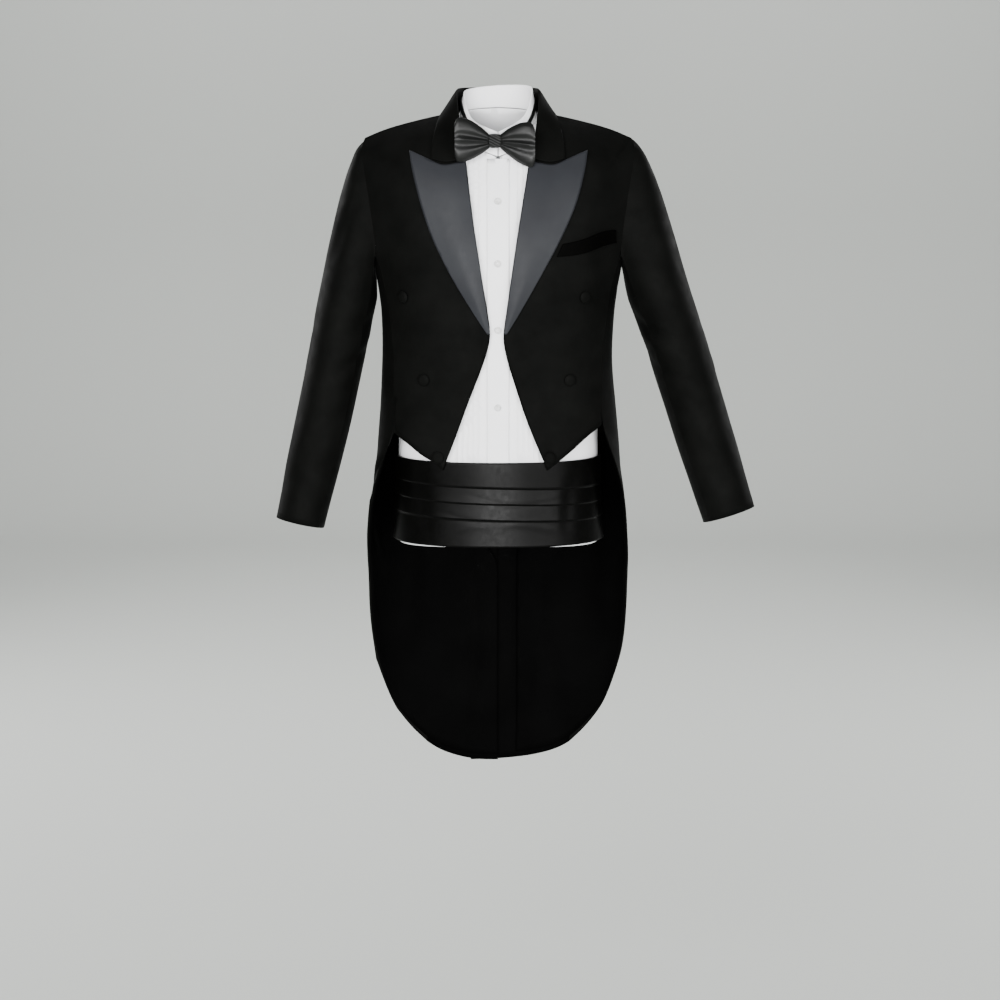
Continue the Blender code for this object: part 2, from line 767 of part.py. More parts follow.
def back_boundaries(form, lapped):
    """Edges of a back, cut in one with its tail."""
    seam = resampled(BACK_SEAM, 13)
    armhole = resampled(ARMHOLE_BACK, 7)
    left = np.concatenate((seam, armhole[1:], shoulder_seam()[1:]))
    centre = [(HEM_BOTTOM, 180.0), (BACK_WAIST, 180.0), (COAT_NECK_BACK[-1][1], 180.0)]
    right = resampled(centre, len(left) - 1)
    bottom = resampled(TAIL_HEM_BACK, 9)
    if lapped:
        right[:, 1] += [VENT_LAP * vent_share(height) for height in right[:, 0]]
        bottom[:, 1] += VENT_LAP * np.linspace(0.0, 1.0, len(bottom)) ** 1.5
    top = neck_edge(form, COAT_NECK_BACK, 9, behind=True)
    return left, right, bottom, top


def vent_share(height, start=VENT_TOP):
    """How far the vent is open at this height: 0 above its start, 1 once it laps fully."""
    share = min(max((start - height) / VENT_GROWTH, 0.0), 1.0)
    return share * share * (3 - 2 * share)


def vent_offsets(grid):
    """Outward shift of the lapping back, where it lies over the other one."""
    result = np.zeros(grid.shape[:2] + (1,))
    for i, row in enumerate(grid):
        for j, (height, turn) in enumerate(row):
            reach = min(max((turn - VENT_EDGE_TURN) / VENT_EDGE_WIDTH, 0.0), 1.0)
            result[i, j] = VENT_LIFT * vent_share(height, VENT_TOP + VENT_SPRING) * reach
    return result


def build_coat_body(form, materials):
    """Both fronts, side bodies and backs, with the linings of the tails."""
    for side, name in ((1, "right"), (2, "left")):
        back = form.panel(*back_boundaries(form, side == 2))
        walls = {
            "front": placed(form, form.panel(*front_boundaries(form, side))),
            "side_body": placed(form, form.panel(*side_boundaries(side))),
            "back": placed(form, back, vent_offsets(back) if side == 2 else 0.0),
        }
        for part, (points, normals) in walls.items():
            outer = drawn_in(points)
            inner = outer - COAT_WALL * normals
            if side == 1:
                outer = mirrored(outer)
                inner = mirrored(inner)
            add_wall(f"coat_{part}_{name}", outer, inner, materials["coat"])
        build_tail_lining(name, walls, materials["lining"])


def build_tail_lining(name, walls, material):
    """The lining inside one tail, a little in from the cloth's edges, across side body and back."""
    rows = 9
    last = 7 if name == "left" else 10
    side_points, side_normals = walls["side_body"]
    back_points, back_normals = walls["back"]
    points = np.concatenate((side_points[:rows], back_points[:rows, 1:last]), axis=1)
    normals = np.concatenate((side_normals[:rows], back_normals[:rows, 1:last]), axis=1)
    points = drawn_in(points, **LINING_MARGINS)
    ease = LINING_EASE * np.linspace(0.0, 1.0, rows)[:, None, None] ** 1.5
    outer = points - (COAT_WALL + LINING_GAP + ease) * normals
    inner = outer - LINING_WALL * normals
    if name == "right":
        outer = mirrored(outer)
        inner = mirrored(inner)
    add_wall(f"tail_lining_{name}", outer, inner, material)


def armhole_loop(form, pieces):
    """Points and outward directions round an armhole, from its top down the front and up the back."""
    front, under, back = pieces
    rows = np.concatenate((front[::-1], under[1:], back[1:-1]))
    points = np.array([form.point(turn, height) for height, turn in rows])
    normals = np.array([form.normal(turn, height) for height, turn in rows])
    return points, normals


def sleeve_ring(row, before, after, around, shrink):
    """One ring of a sleeve below the armhole, square to the arm's own line."""
    height, reach, forward, width, depth = row
    centre = np.array((reach, forward, height))
    line = np.array((after[1] - before[1], after[2] - before[2], after[0] - before[0]))
    line /= np.linalg.norm(line)
    side = np.array((1.0, 0.0, 0.0)) - line[0] * line
    side /= np.linalg.norm(side)
    depthwise = np.cross(side, line)
    if depthwise[1] > 0:
        depthwise = -depthwise
    ring = []
    for angle in around:
        out = side * math.cos(angle) * (width / 2 - shrink)
        fore = depthwise * math.sin(angle) * (depth / 2 - shrink)
        ring.append(centre + out + fore)
    return np.array(ring), line


def sleeve_grid(form, pieces, stations, pulls, shrink=0.0, underarm=SLEEVE_UNDERARM):
    """Sleeve points from the armhole down to the cuff, one column for each point round the armhole."""
    loop, normals = armhole_loop(form, pieces)
    centre = loop.mean(axis=0)
    steps = np.linalg.norm(np.diff(np.concatenate((loop, loop[:1])), axis=0), axis=1)
    around = 2 * math.pi * np.concatenate(([0.0], np.cumsum(steps)[:-1])) / steps.sum()
    away = loop - centre
    away[:, 0] = 0.0
    away /= np.linalg.norm(away, axis=1)[:, None]
    outwards = np.array((1.0, 0.0, 0.0))
    start = loop + ARMHOLE_GAP * outwards + ARMHOLE_LIFT * normals
    first, line = sleeve_ring(stations[0], stations[0], stations[1], around, shrink)
    rows = []
    for v in np.linspace(0.0, 1.0, 8)[:-1]:
        row = []
        for j, base in enumerate(start):
            lift = away[j][2]
            share = 0.5 * (1 + lift)
            outward = underarm[0] + (1.0 - underarm[0]) * share
            downward = underarm[1] + (SLEEVE_TOP_DROP - underarm[1]) * share
            leave = np.array((outward, SLEEVE_SPREAD * away[j][1], downward))
            leave /= np.linalg.norm(leave)
            span = np.linalg.norm(first[j] - base)
            pull = leave * (pulls[0] + (pulls[1] - pulls[0]) * share)
            settle = line * span * SLEEVE_SETTLE
            h0 = (1 + 2 * v) * (1 - v) ** 2
            h1 = v * (1 - v) ** 2
            h2 = v * v * (3 - 2 * v)
            h3 = v * v * (v - 1)
            row.append(base * h0 + pull * h1 + first[j] * h2 + settle * h3)
        rows.append(row)
    for i, station in enumerate(stations):
        before = stations[max(i - 1, 0)]
        after = stations[min(i + 1, len(stations) - 1)]
        rows.append(sleeve_ring(station, before, after, around, shrink)[0])
    return np.array(rows)


def grid_normals(points):
    """Outward directions of a closed sleeve grid, from its neighbours."""
    around = np.roll(points, -1, axis=1) - np.roll(points, 1, axis=1)
    down = np.gradient(points, axis=0)
    facing = np.cross(down, around)
    facing /= np.linalg.norm(facing, axis=2)[:, :, None]
    middle = points.mean(axis=1)[:, None, :]
    outward = ((points - middle) * facing).sum(axis=2)
    return facing if np.median(outward) > 0 else -facing


def build_coat_sleeves(form, materials):
    """Top sleeve and under sleeve on each arm, parted at the forearm and elbow seams."""
    pieces = (resampled(ARMHOLE_FRONT, 7), resampled(ARMHOLE_UNDER, 4), resampled(ARMHOLE_BACK, 7))
    under = list(range(FOREARM_COLUMN, ELBOW_COLUMN + 1))
    for stations, name in ((SLEEVE_RIGHT, "right"), (SLEEVE_LEFT, "left")):
        points = sleeve_grid(form, pieces, stations, SLEEVE_PULLS[name])
        normals = grid_normals(points)
        top = list(range(ELBOW_COLUMN, points.shape[1])) + list(range(FOREARM_COLUMN + 1))
        for part, picked in (("under_sleeve", under), ("top_sleeve", top)):
            outer_part = drawn_in(points[:, picked])
            inner_part = outer_part - COAT_WALL * normals[:, picked]
            if name == "right":
                outer_part = mirrored(outer_part)
                inner_part = mirrored(inner_part)
            add_wall(f"coat_{part}_{name}", outer_part, inner_part, materials["coat"])


def front_turn(form, reach, height):
    """Height and turn of a point of the front seen at this distance from the middle."""
    return (height, form.turn_at(reach, height))


def build_lapels(form, materials):
    """Peaked lapels, which lie on the fronts from the waist up to the gorge."""
    for side, name in ((1, "right"), (2, "left")):
        outer_edge = resampled([front_turn(form, row[side], row[0]) for row in LAPEL_OUTER], 13)
        inner_edge = resampled([front_turn(form, row[side], row[0]) for row in LAPEL_INNER], 13)
        bottom = np.linspace(inner_edge[0], outer_edge[0], 5)
        top = np.array([front_turn(form, reach, height) for reach, height in LAPEL_TOP])
        top[0] = inner_edge[-1]
        top[-1] = outer_edge[-1]
        grid = coons(inner_edge, outer_edge, bottom, top)
        points, normals = placed(form, grid)
        lift = np.zeros(points.shape[:2])
        for i in range(lift.shape[0]):
            for j in range(lift.shape[1]):
                v = i / (lift.shape[0] - 1)
                u = j / (lift.shape[1] - 1)
                lift[i, j] = LAPEL_GAP + LAPEL_ROLL * math.sin(math.pi * u) * math.sin(math.pi * v) ** 0.5
        inner = points + lift[:, :, None] * normals
        outer = inner + COAT_WALL * normals
        if side == 1:
            outer = mirrored(outer)
            inner = mirrored(inner)
        add_wall(f"lapel_{name}", outer, inner, materials["satin"])


def build_collar(materials):
    """Coat collar: the stand rises inside the leaf, and both are one folded wall round the neck."""
    stations = resample_rows(COLLAR, 11)
    half = [collar_section(row) for row in stations]
    left = np.array(half)
    left[0, -2] += COLLAR_NOTCH
    right = left[:-1][::-1] * np.array((-1.0, 1.0, 1.0))
    points = np.concatenate((left, right))
    down = np.gradient(points, axis=0)
    across = np.gradient(points, axis=1)
    facing = np.cross(across, down)
    facing /= np.linalg.norm(facing, axis=2)[:, :, None]
    back_leaf = facing[len(left) - 1, -1]
    if back_leaf[1] < 0:
        facing = -facing
    add_wall("coat_collar", points, points - COAT_WALL * facing, materials["coat"])


def resample_rows(rows, count):
    """count rows spread evenly over a table of any width, read along smooth curves."""
    table = [(float(k), *row) for k, row in enumerate(rows)]
    spread = np.linspace(0.0, len(rows) - 1, count)
    return [[smooth_column(table, c + 1, at) for c in range(len(rows[0]))] for at in spread]


def collar_section(row):
    """The collar's outer side at one station, from the stand's foot over the fold to the leaf's edge."""
    fold = np.array(row[:3])
    edge = np.array(row[3:6])
    foot = np.array(row[6:])
    fall = edge - fold
    outwards = np.array((fall[0], fall[1], 0.0))
    outwards /= np.linalg.norm(outwards)
    upwards = np.array((0.0, 0.0, 1.0))
    inside = fold + COLLAR_INSET * outwards - COLLAR_CROWN * upwards
    crown = fold + COLLAR_CROWN * outwards + COLLAR_CROWN_RISE * upwards
    shoulder = fold + COLLAR_ROLL * outwards - COLLAR_SHOULDER_DROP * upwards
    middle = fold + COLLAR_BELLY_SHARE * fall + COLLAR_BELLY * outwards
    return [foot, inside, crown, shoulder, middle, edge]


def add_button(name, form, reach, height, radius, thickness, material, lift, side=1.0):
    """A domed button lying on a form, facing outwards."""
    turn = form.turn_at(reach, height)
    normal = form.normal(turn, height)
    centre = form.point(turn, height) + lift * normal
    normal[0] *= side
    centre[0] *= side
    sides = BUTTON_SIDES
    across = np.cross(normal, (0.0, 0.0, 1.0))
    across /= np.linalg.norm(across)
    up = np.cross(across, normal)
    vertices = []
    for share, rise in BUTTON_PROFILE:
        for k in range(sides):
            angle = 2 * math.pi * k / sides
            spoke = across * math.cos(angle) + up * math.sin(angle)
            vertices.append(centre + spoke * radius * share + normal * thickness * rise)
    faces = []
    for i in range(len(BUTTON_PROFILE) - 1):
        for k in range(sides):
            a = i * sides + k
            b = i * sides + (k + 1) % sides
            faces.append((a, b, b + sides, a + sides))
    faces.append(tuple(range(sides))[::-1])
    faces.append(tuple(range((len(BUTTON_PROFILE) - 1) * sides, len(BUTTON_PROFILE) * sides)))
    return add_object(name, vertices, faces, material)


def build_coat_trims(form, materials):
    """Breast welt and covered buttons."""
    grid = []
    for reach, low, upper_reach, high in WELT:
        grid.append([front_turn(form, reach, low), front_turn(form, upper_reach, high)])
    grid = np.array(grid).transpose(1, 0, 2)
    grid = np.array([grid[0], (grid[0] + grid[1]) / 2, grid[1]])
    points, normals = placed(form, grid)
    inner = points + WELT_GAP * normals
    add_wall("breast_welt", inner + WELT_WALL * normals, inner, materials["black_satin"])
    for label, height, right, left in COAT_BUTTONS:
        for reach, side, name in ((right, -1.0, "right"), (left, 1.0, "left")):
            add_button(
                f"coat_button_{label}_{name}",
                form,
                reach,
                height,
                COAT_BUTTON_RADIUS,
                COAT_BUTTON_THICKNESS,
                materials["button"],
                COAT_BUTTON_LIFT,
                side,
            )


def build_shirt(form, materials):
    """Dress shirt: two fronts, back, sleeves, placket, collar and buttons."""
    front_turn_least, hem_low = SHIRT_HEM[0]
    side_turn, hem = SHIRT_HEM[-1]
    armhole_front = resampled(SHIRT_ARMHOLE_FRONT, 5)
    armhole_back = resampled(SHIRT_ARMHOLE_BACK, 5)
    ridge = [(row[1], row[0]) for row in SHIRT_RINGS[1:6]]
    reaches = np.linspace(ridge[-1][0] + SHIRT_SHOULDER_GAP, ridge[0][0], 5)
    shoulder = [(smooth_column(ridge, 1, reach), 90.0) for reach in reaches]
    shoulder[0] = (SHIRT_SHOULDER_TIP, 90.0)
    shoulder = np.array(shoulder)
    seam = resampled([(hem, side_turn), (SHIRT_WAIST, side_turn), (SHIRT_ARMHOLE_BOTTOM, side_turn)], 7)
    right = np.concatenate((seam, armhole_front[1:], shoulder[1:]))
    count = len(right) - 1
    centre = resampled([(height, front_turn_least) for height in (hem_low, SHIRT_WAIST, SHIRT_NECK_LOW)], count)
    bottom = np.array([(smooth_column(SHIRT_HEM, 1, turn), turn) for turn in np.linspace(front_turn_least, side_turn, 8)])
    top = neck_edge(form, SHIRT_NECK_FRONT, 7)
    top[0] = centre[-1]
    points, normals = placed(form, form.panel(centre, right, bottom, top))
    outer = drawn_in(points)
    inner = outer - SHIRT_WALL * normals
    add_wall("shirt_front_left", outer, inner, materials["shirt"])
    add_wall("shirt_front_right", mirrored(outer), mirrored(inner), materials["shirt"])

    left = np.concatenate((seam, armhole_back[1:], shoulder[1:]))
    middle = resampled([(hem, 180.0), (SHIRT_WAIST, 180.0), (SHIRT_NECK_BACK[-1][1], 180.0)], count)
    bottom = np.linspace(left[0], middle[0], 6)
    nape = neck_edge(form, SHIRT_NECK_BACK, 5, behind=True)
    points, normals = placed(form, form.panel(left, middle, bottom, nape))
    normals[:, -1] = np.array((0.0, 1.0, 0.0))
    outer = drawn_in(points, right=0.0)
    outer[:, -1, 0] = 0.0
    inner = outer - SHIRT_WALL * normals
    outer = np.concatenate((outer, mirrored(outer)[:, 1:]), axis=1)
    inner = np.concatenate((inner, mirrored(inner)[:, 1:]), axis=1)
    add_wall("shirt_back", outer, inner, materials["shirt"])

    pieces = (armhole_front, np.array([armhole_front[0], armhole_back[0]]), armhole_back)
    for stations, name in ((SLEEVE_RIGHT, "right"), (SLEEVE_LEFT, "left")):
        points = sleeve_grid(
            form, pieces, stations[:-1], SHIRT_SLEEVE_PULLS, SHIRT_SLEEVE_SHRINK, SHIRT_SLEEVE_UNDERARM
        )
        inner = points - SHIRT_WALL * grid_normals(points)
        if name == "right":
            points = mirrored(points)
            inner = mirrored(inner)
        add_wall(f"shirt_sleeve_{name}", points, inner, materials["shirt"], closed=True)
    build_placket(form, materials)
    build_shirt_collar(materials)
    for number, height in enumerate(SHIRT_BUTTONS, 1):
        add_button(
            f"shirt_button_{number}",
            form,
            SHIRT_BUTTON_REACH,
            height,
            SHIRT_BUTTON_RADIUS,
            SHIRT_BUTTON_THICKNESS,
            materials["pearl"],
            SHIRT_BUTTON_LIFT,
            -1.0,
        )


def build_placket(form, materials):
    """The strip down the shirt's centre front that carries the buttons."""
    heights = np.linspace(*PLACKET_ENDS, 15)
    grid = []
    for height in heights:
        turn = form.turn_at(PLACKET_HALF_WIDTH, height)
        grid.append([(height, turn * share) for share in PLACKET_COLUMNS])
    points, normals = placed(form, np.array(grid))
    inner = points + PLACKET_GAP * normals
    add_wall("shirt_placket", inner + PLACKET_WALL * normals, inner, materials["shirt"])


def build_shirt_collar(materials):
    """Standing shirt collar, open at the centre front."""
    stations = resample_rows(SHIRT_COLLAR, 15)
    half = []
    for x, y, z, foot_x, foot_y, foot_z in stations:
        top = np.array((x, y, z))
        foot = np.array((foot_x, foot_y, foot_z))
        half.append([foot, 0.5 * (foot + top), top])
    left = np.array(half)
    right = left[:-1][::-1] * np.array((-1.0, 1.0, 1.0))
    points = np.concatenate((left, right))
    points[:, -1, 2] += SHIRT_COLLAR_TILT * points[:, -1, 0]
    facing = np.cross(np.gradient(points, axis=1), np.gradient(points, axis=0))
    facing /= np.linalg.norm(facing, axis=2)[:, :, None]
    if facing[len(left) - 1, 1][1] < 0:
        facing = -facing
    add_wall("shirt_collar", points, points - SHIRT_COLLAR_WALL * facing, materials["shirt"])


def build_cummerbund(form, materials):
    """Pleated front from side to side, and a narrow strap round the back."""
    turns = np.linspace(-CUMMERBUND_TURN, CUMMERBUND_TURN, 15)
    rows = []
    for low, high, bottom, middle, top in CUMMERBUND_BANDS:
        rows += [(low + BAND_EDGE_INSET, bottom), (0.5 * (low + high), middle), (high - BAND_EDGE_INSET, top)]
    grid = np.array([[(height, turn) for turn in turns] for height, _ in rows])
    grid[2:-2, :, 0] -= BAND_SLANT * np.sin(np.radians(turns))
    points, normals = placed(form, grid)
    for i, (_, step) in enumerate(rows):
        points[i] += (CUMMERBUND_CLEARANCE + SATIN_WALL + step * CUMMERBUND_STEP) * normals[i]
    inner_grid = placed(form, grid)[0] + CUMMERBUND_CLEARANCE * normals
    add_wall("cummerbund_front", points, inner_grid, materials["black_satin"])
    turns = np.linspace(STRAP_TURN, 360.0 - STRAP_TURN, 25)
    grid = np.array([[(height, turn) for turn in turns] for height in STRAP_ENDS])
    points, normals = placed(form, grid)
    inner = points + STRAP_GAP * normals
    add_wall("cummerbund_strap", inner + SATIN_WALL * normals, inner, materials["black_satin"])


def build_bow_tie(materials):
    """Two puffed wings, a knot over their roots and a band round the collar."""
    centre = np.array(BOW_CENTRE)
    for side, name in ((-1.0, "right"), (1.0, "left")):
        rows = []
        backs = []
        for reach, high, low, puff in resample_rows(BOW_WING, 9):
            front = []
            back = []
            for k in range(BOW_ACROSS):
                v = k / (BOW_ACROSS - 1)
                height = low + (high - low) * v
                trough = sum(depth * math.exp(-(((v - at) / width) ** 2)) for at, width, depth in BOW_TROUGHS)
                swell = math.sin(math.pi * v) ** 0.5
                depth = puff * swell * (1.0 - trough) + BOW_EDGE
                x = side * (KNOT_HALF[0] + KNOT_GAP + reach)
                sway = -BOW_TILT * reach * side
                bend = -BOW_LEAN * reach
                front.append(centre + np.array((x, -depth + bend, height + sway)))
                back.append(centre + np.array((x, BOW_BACK_SHARE * puff * swell + BOW_EDGE + bend, height + sway)))
            rows.append(front)
            backs.append(back)
        add_wall(f"bow_wing_{name}", np.array(rows), np.array(backs), materials["black_satin"])
    build_knot(centre, materials)
    build_neck_band(materials)


def build_knot(centre, materials):
    """The knot: a rounded, pillow-like wrap."""
    shape = bmesh.new()
    bmesh.ops.create_cube(shape, size=2.0)
    bmesh.ops.subdivide_edges(shape, edges=shape.edges, cuts=2, use_grid_fill=True)
    swollen, blend = KNOT_ROUND
    for vertex in shape.verts:
        direction = vertex.co.normalized()
        round_off = vertex.co.lerp(direction * swollen, blend)
        limit = [max(-1.0, min(1.0, value)) for value in round_off]
        vertex.co = [centre[k] + limit[k] * KNOT_HALF[k] for k in range(3)]
    bmesh.ops.recalc_face_normals(shape, faces=shape.faces)
    mesh = bpy.data.meshes.new("bow_knot")
    shape.to_mesh(mesh)
    shape.free()
    mesh.shade_smooth()
    mesh.materials.append(materials["black_satin"])
    bpy.context.scene.collection.objects.link(bpy.data.objects.new("bow_knot", mesh))


def build_neck_band(materials):
    """The bow tie's band, which lies round the foot of the shirt collar."""
    stations = resample_rows(SHIRT_COLLAR, 15)[2:]
    half = []
    for x, y, z, foot_x, foot_y, foot_z in stations:
        top = np.array((x, y, z))
        foot = np.array((foot_x, foot_y, foot_z))
        half.append([foot + share * (top - foot) for share in BAND_SHARES])
    left = np.array(half)
    right = left[:-1][::-1] * np.array((-1.0, 1.0, 1.0))
    points = np.concatenate((left, right))
    facing = np.cross(np.gradient(points, axis=1), np.gradient(points, axis=0))
    facing /= np.linalg.norm(facing, axis=2)[:, :, None]
    if facing[len(left) - 1, 1][1] < 0:
        facing = -facing
    inner = points + BAND_GAP * facing
    add_wall("bow_band", inner + BAND_WALL * facing, inner, materials["black_satin"])


def main():
    """Builds the whole suit."""
    clear_scene()
    materials = {name: make_material(name) for name in COLOURS}
    coat_form = WornForm(COAT_RINGS, tail_fold=TAIL_FOLD)
    shirt_form = WornForm(SHIRT_RINGS)
    build_coat_body(coat_form, materials)
    build_coat_sleeves(coat_form, materials)
    build_lapels(coat_form, materials)
    build_collar(materials)
    build_coat_trims(coat_form, materials)
    build_shirt(shirt_form, materials)
    build_cummerbund(shirt_form, materials)
    build_bow_tie(materials)


if __name__ == "__main__":
    main()
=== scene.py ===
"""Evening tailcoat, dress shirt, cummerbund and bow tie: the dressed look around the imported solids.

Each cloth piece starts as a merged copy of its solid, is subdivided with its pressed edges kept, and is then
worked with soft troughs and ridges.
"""

import json
import logging
import math
from dataclasses import dataclass, field, replace
from enum import Enum

import bmesh
import bpy
import numpy as np
from mathutils import Matrix, Vector, noise
from mathutils.kdtree import KDTree

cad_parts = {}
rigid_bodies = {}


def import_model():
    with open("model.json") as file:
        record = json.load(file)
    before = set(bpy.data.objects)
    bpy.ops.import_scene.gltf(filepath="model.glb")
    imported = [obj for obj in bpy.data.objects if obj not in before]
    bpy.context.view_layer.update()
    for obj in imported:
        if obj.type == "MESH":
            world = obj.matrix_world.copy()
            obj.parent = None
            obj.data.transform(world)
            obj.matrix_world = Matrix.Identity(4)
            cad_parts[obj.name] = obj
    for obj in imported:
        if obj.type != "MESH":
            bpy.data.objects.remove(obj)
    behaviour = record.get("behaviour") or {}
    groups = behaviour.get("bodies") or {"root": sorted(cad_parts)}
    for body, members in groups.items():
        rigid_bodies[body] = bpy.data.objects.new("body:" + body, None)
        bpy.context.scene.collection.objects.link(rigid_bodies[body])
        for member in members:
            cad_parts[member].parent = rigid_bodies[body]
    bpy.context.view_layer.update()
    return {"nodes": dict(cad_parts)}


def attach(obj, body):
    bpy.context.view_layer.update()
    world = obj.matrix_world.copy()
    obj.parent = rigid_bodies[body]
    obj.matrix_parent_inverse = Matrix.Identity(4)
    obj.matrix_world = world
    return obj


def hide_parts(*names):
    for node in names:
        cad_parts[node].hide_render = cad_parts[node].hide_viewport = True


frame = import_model()

Points = np.ndarray
LOG = logging.getLogger("tailcoat")


class Held(Enum):
    """How a cut piece of cloth is held in its worn form."""

    HUNG = "hung"
    STRETCHED = "stretched"
    FOLDED = "folded"


class Slot(Enum):
    """Material slots of the record."""

    WOOL = "wool"
    LAPEL = "lapel_satin"
    LINING = "lining"
    COTTON = "cotton"
    BLACK_SATIN = "black_satin"
    BUTTON = "covered_button"
    PEARL = "pearl_button"


# Sharp edges turn by more than this, in degrees, and stay pressed when the cloth is smoothed
PRESSED_TURN = 48.0

# Points of one solid that lie nearer than this are one point
MERGE_REACH = 2e-5


# Finishes


class NodeSheet:
    """A node tree being filled for one material."""

    def __init__(self, name: str) -> None:
        """Starts a Principled material of this name."""
        self.material = bpy.data.materials.new(name)
        self.material.use_nodes = True
        self.tree = self.material.node_tree
        self.shader = self.tree.nodes["Principled BSDF"]

    def node(self, kind: str, **settings: object) -> bpy.types.Node:
        """Adds one node and sets its properties, or its sockets where a name is a socket's.

        Args:
            kind: The node's type name.
            settings: Properties of the node, and sockets with spaces written as underscores.

        Returns:
            The new node.
        """
        made = self.tree.nodes.new(kind)
        for name, value in settings.items():
            socket = made.inputs.get(name.replace("_", " "))
            if hasattr(made, name):
                setattr(made, name, value)
            elif socket is not None:
                socket.default_value = value
        return made

    def link(self, output: bpy.types.NodeSocket, target: bpy.types.NodeSocket) -> None:
        """Joins two sockets."""
        self.tree.links.new(output, target)

    def thread_map(self) -> bpy.types.NodeSocket:
        """The piece's own cloth map, in metres along and across the thread."""
        return self.node("ShaderNodeUVMap", uv_map="cloth").outputs["UV"]

    def place(self) -> bpy.types.NodeSocket:
        """Object coordinates, in metres."""
        return self.node("ShaderNodeTexCoord").outputs["Object"]

    def grain(self, source: bpy.types.NodeSocket, scale: float, detail: float = 3.0) -> bpy.types.NodeSocket:
        """Soft noise over the piece.

        Args:
            source: The coordinates that it follows.
            scale: Spots for each metre.
            detail: Finer layers in it.

        Returns:
            The noise's value, from 0 to 1.
        """
        made = self.node("ShaderNodeTexNoise", Scale=scale, Detail=detail)
        self.link(source, made.inputs["Vector"])
        return made.outputs["Fac"]

    def ribs(self, source: bpy.types.NodeSocket, scale: float, turn: float) -> bpy.types.NodeSocket:
        """Thread lines at an angle across the cloth.

        Args:
            source: The cloth map.
            scale: Lines for each metre, roughly.
            turn: Direction of the lines, in degrees.

        Returns:
            The lines' value, from 0 to 1.
        """
        turned = self.node("ShaderNodeMapping")
        turned.inputs["Rotation"].default_value = (0.0, 0.0, math.radians(turn))
        self.link(source, turned.inputs["Vector"])
        made = self.node("ShaderNodeTexWave", wave_type="BANDS", bands_direction="X", Scale=scale)
        made.inputs["Distortion"].default_value = 0.4
        self.link(turned.outputs["Vector"], made.inputs["Vector"])
        return made.outputs["Fac"]

    def ramp(self, source: bpy.types.NodeSocket, stops: tuple, target: bpy.types.NodeSocket) -> None:
        """Colours or grey values read from a value.

        Args:
            source: The value.
            stops: Rows of place and colour, from the lowest place up.
            target: The socket that takes the result.
        """
        made = self.node("ShaderNodeValToRGB")
        made.color_ramp.elements[0].position = stops[0][0]
        made.color_ramp.elements[0].color = (*stops[0][1], 1.0)
        made.color_ramp.elements[1].position = stops[-1][0]
        made.color_ramp.elements[1].color = (*stops[-1][1], 1.0)
        for place, colour in stops[1:-1]:
            made.color_ramp.elements.new(place).color = (*colour, 1.0)
        self.link(source, made.inputs["Fac"])
        self.link(made.outputs["Color"], target)

    def relief(self, layers: list[tuple[bpy.types.NodeSocket, float, float]]) -> None:
        """Stacks bumps into the shader's normal.

        Args:
            layers: Rows of height value, strength and distance in metres.
        """
        below = None
        for height, strength, distance in layers:
            bump = self.node("ShaderNodeBump")
            bump.inputs["Strength"].default_value = strength
            bump.inputs["Distance"].default_value = distance
            self.link(height, bump.inputs["Height"])
            if below is not None:
                self.link(below, bump.inputs["Normal"])
            below = bump.outputs["Normal"]
        self.link(below, self.shader.inputs["Normal"])


@dataclass(frozen=True)
class WoolFinish:
    """Fine black wool: twill lines, a little fuzz and a faint sheen."""

    dark: tuple[float, float, float] = (0.0017, 0.0018, 0.0016)
    light: tuple[float, float, float] = (0.0030, 0.0031, 0.0028)
    roughness: float = 0.66
    sheen: float = 0.003
    shine: float = 0.028

    def make(self) -> bpy.types.Material:
        """The material."""
        sheet = NodeSheet("wool")
        cloth = sheet.thread_map()
        place = sheet.place()
        twill = sheet.ribs(cloth, 160.0, 58.0)
        fuzz = sheet.grain(place, 900.0, 4.0)
        tone = sheet.grain(place, 22.0, 4.0)
        sheet.ramp(tone, ((0.30, self.dark), (0.72, self.light)), sheet.shader.inputs["Base Color"])
        sheet.ramp(
            sheet.grain(place, 60.0, 3.0),
            ((0.25, (self.roughness - 0.06,) * 3), (0.75, (self.roughness + 0.08,) * 3)),
            sheet.shader.inputs["Roughness"],
        )
        sheet.shader.inputs["Sheen Weight"].default_value = self.sheen
        sheet.shader.inputs["Sheen Roughness"].default_value = 0.35
        sheet.shader.inputs["Specular IOR Level"].default_value = self.shine
        sheet.relief([(tone, 0.10, 0.0006), (fuzz, 0.30, 0.00010), (twill, 0.35, 0.00012)])
        return sheet.material


@dataclass(frozen=True)
class SatinFinish:
    """Satin: a smooth floating weave with a long soft highlight."""

    name: str
    dark: tuple[float, float, float]
    light: tuple[float, float, float]
    roughness: float
    shine: float
    lines: float = 0.16

    def make(self) -> bpy.types.Material:
        """The material."""
        sheet = NodeSheet(self.name)
        cloth = sheet.thread_map()
        place = sheet.place()
        thread = sheet.ribs(cloth, 260.0, 90.0)
        slub = sheet.grain(place, 130.0, 5.0)
        tone = sheet.grain(place, 14.0, 3.0)
        sheet.ramp(tone, ((0.28, self.dark), (0.74, self.light)), sheet.shader.inputs["Base Color"])
        sheet.ramp(
            slub,
            ((0.20, (self.roughness - 0.05,) * 3), (0.80, (self.roughness + 0.07,) * 3)),
            sheet.shader.inputs["Roughness"],
        )
        sheet.shader.inputs["Specular IOR Level"].default_value = self.shine
        sheet.relief([(tone, 0.25, 0.0012), (slub, 0.12, 0.0003), (thread, self.lines, 0.00008)])
        return sheet.material


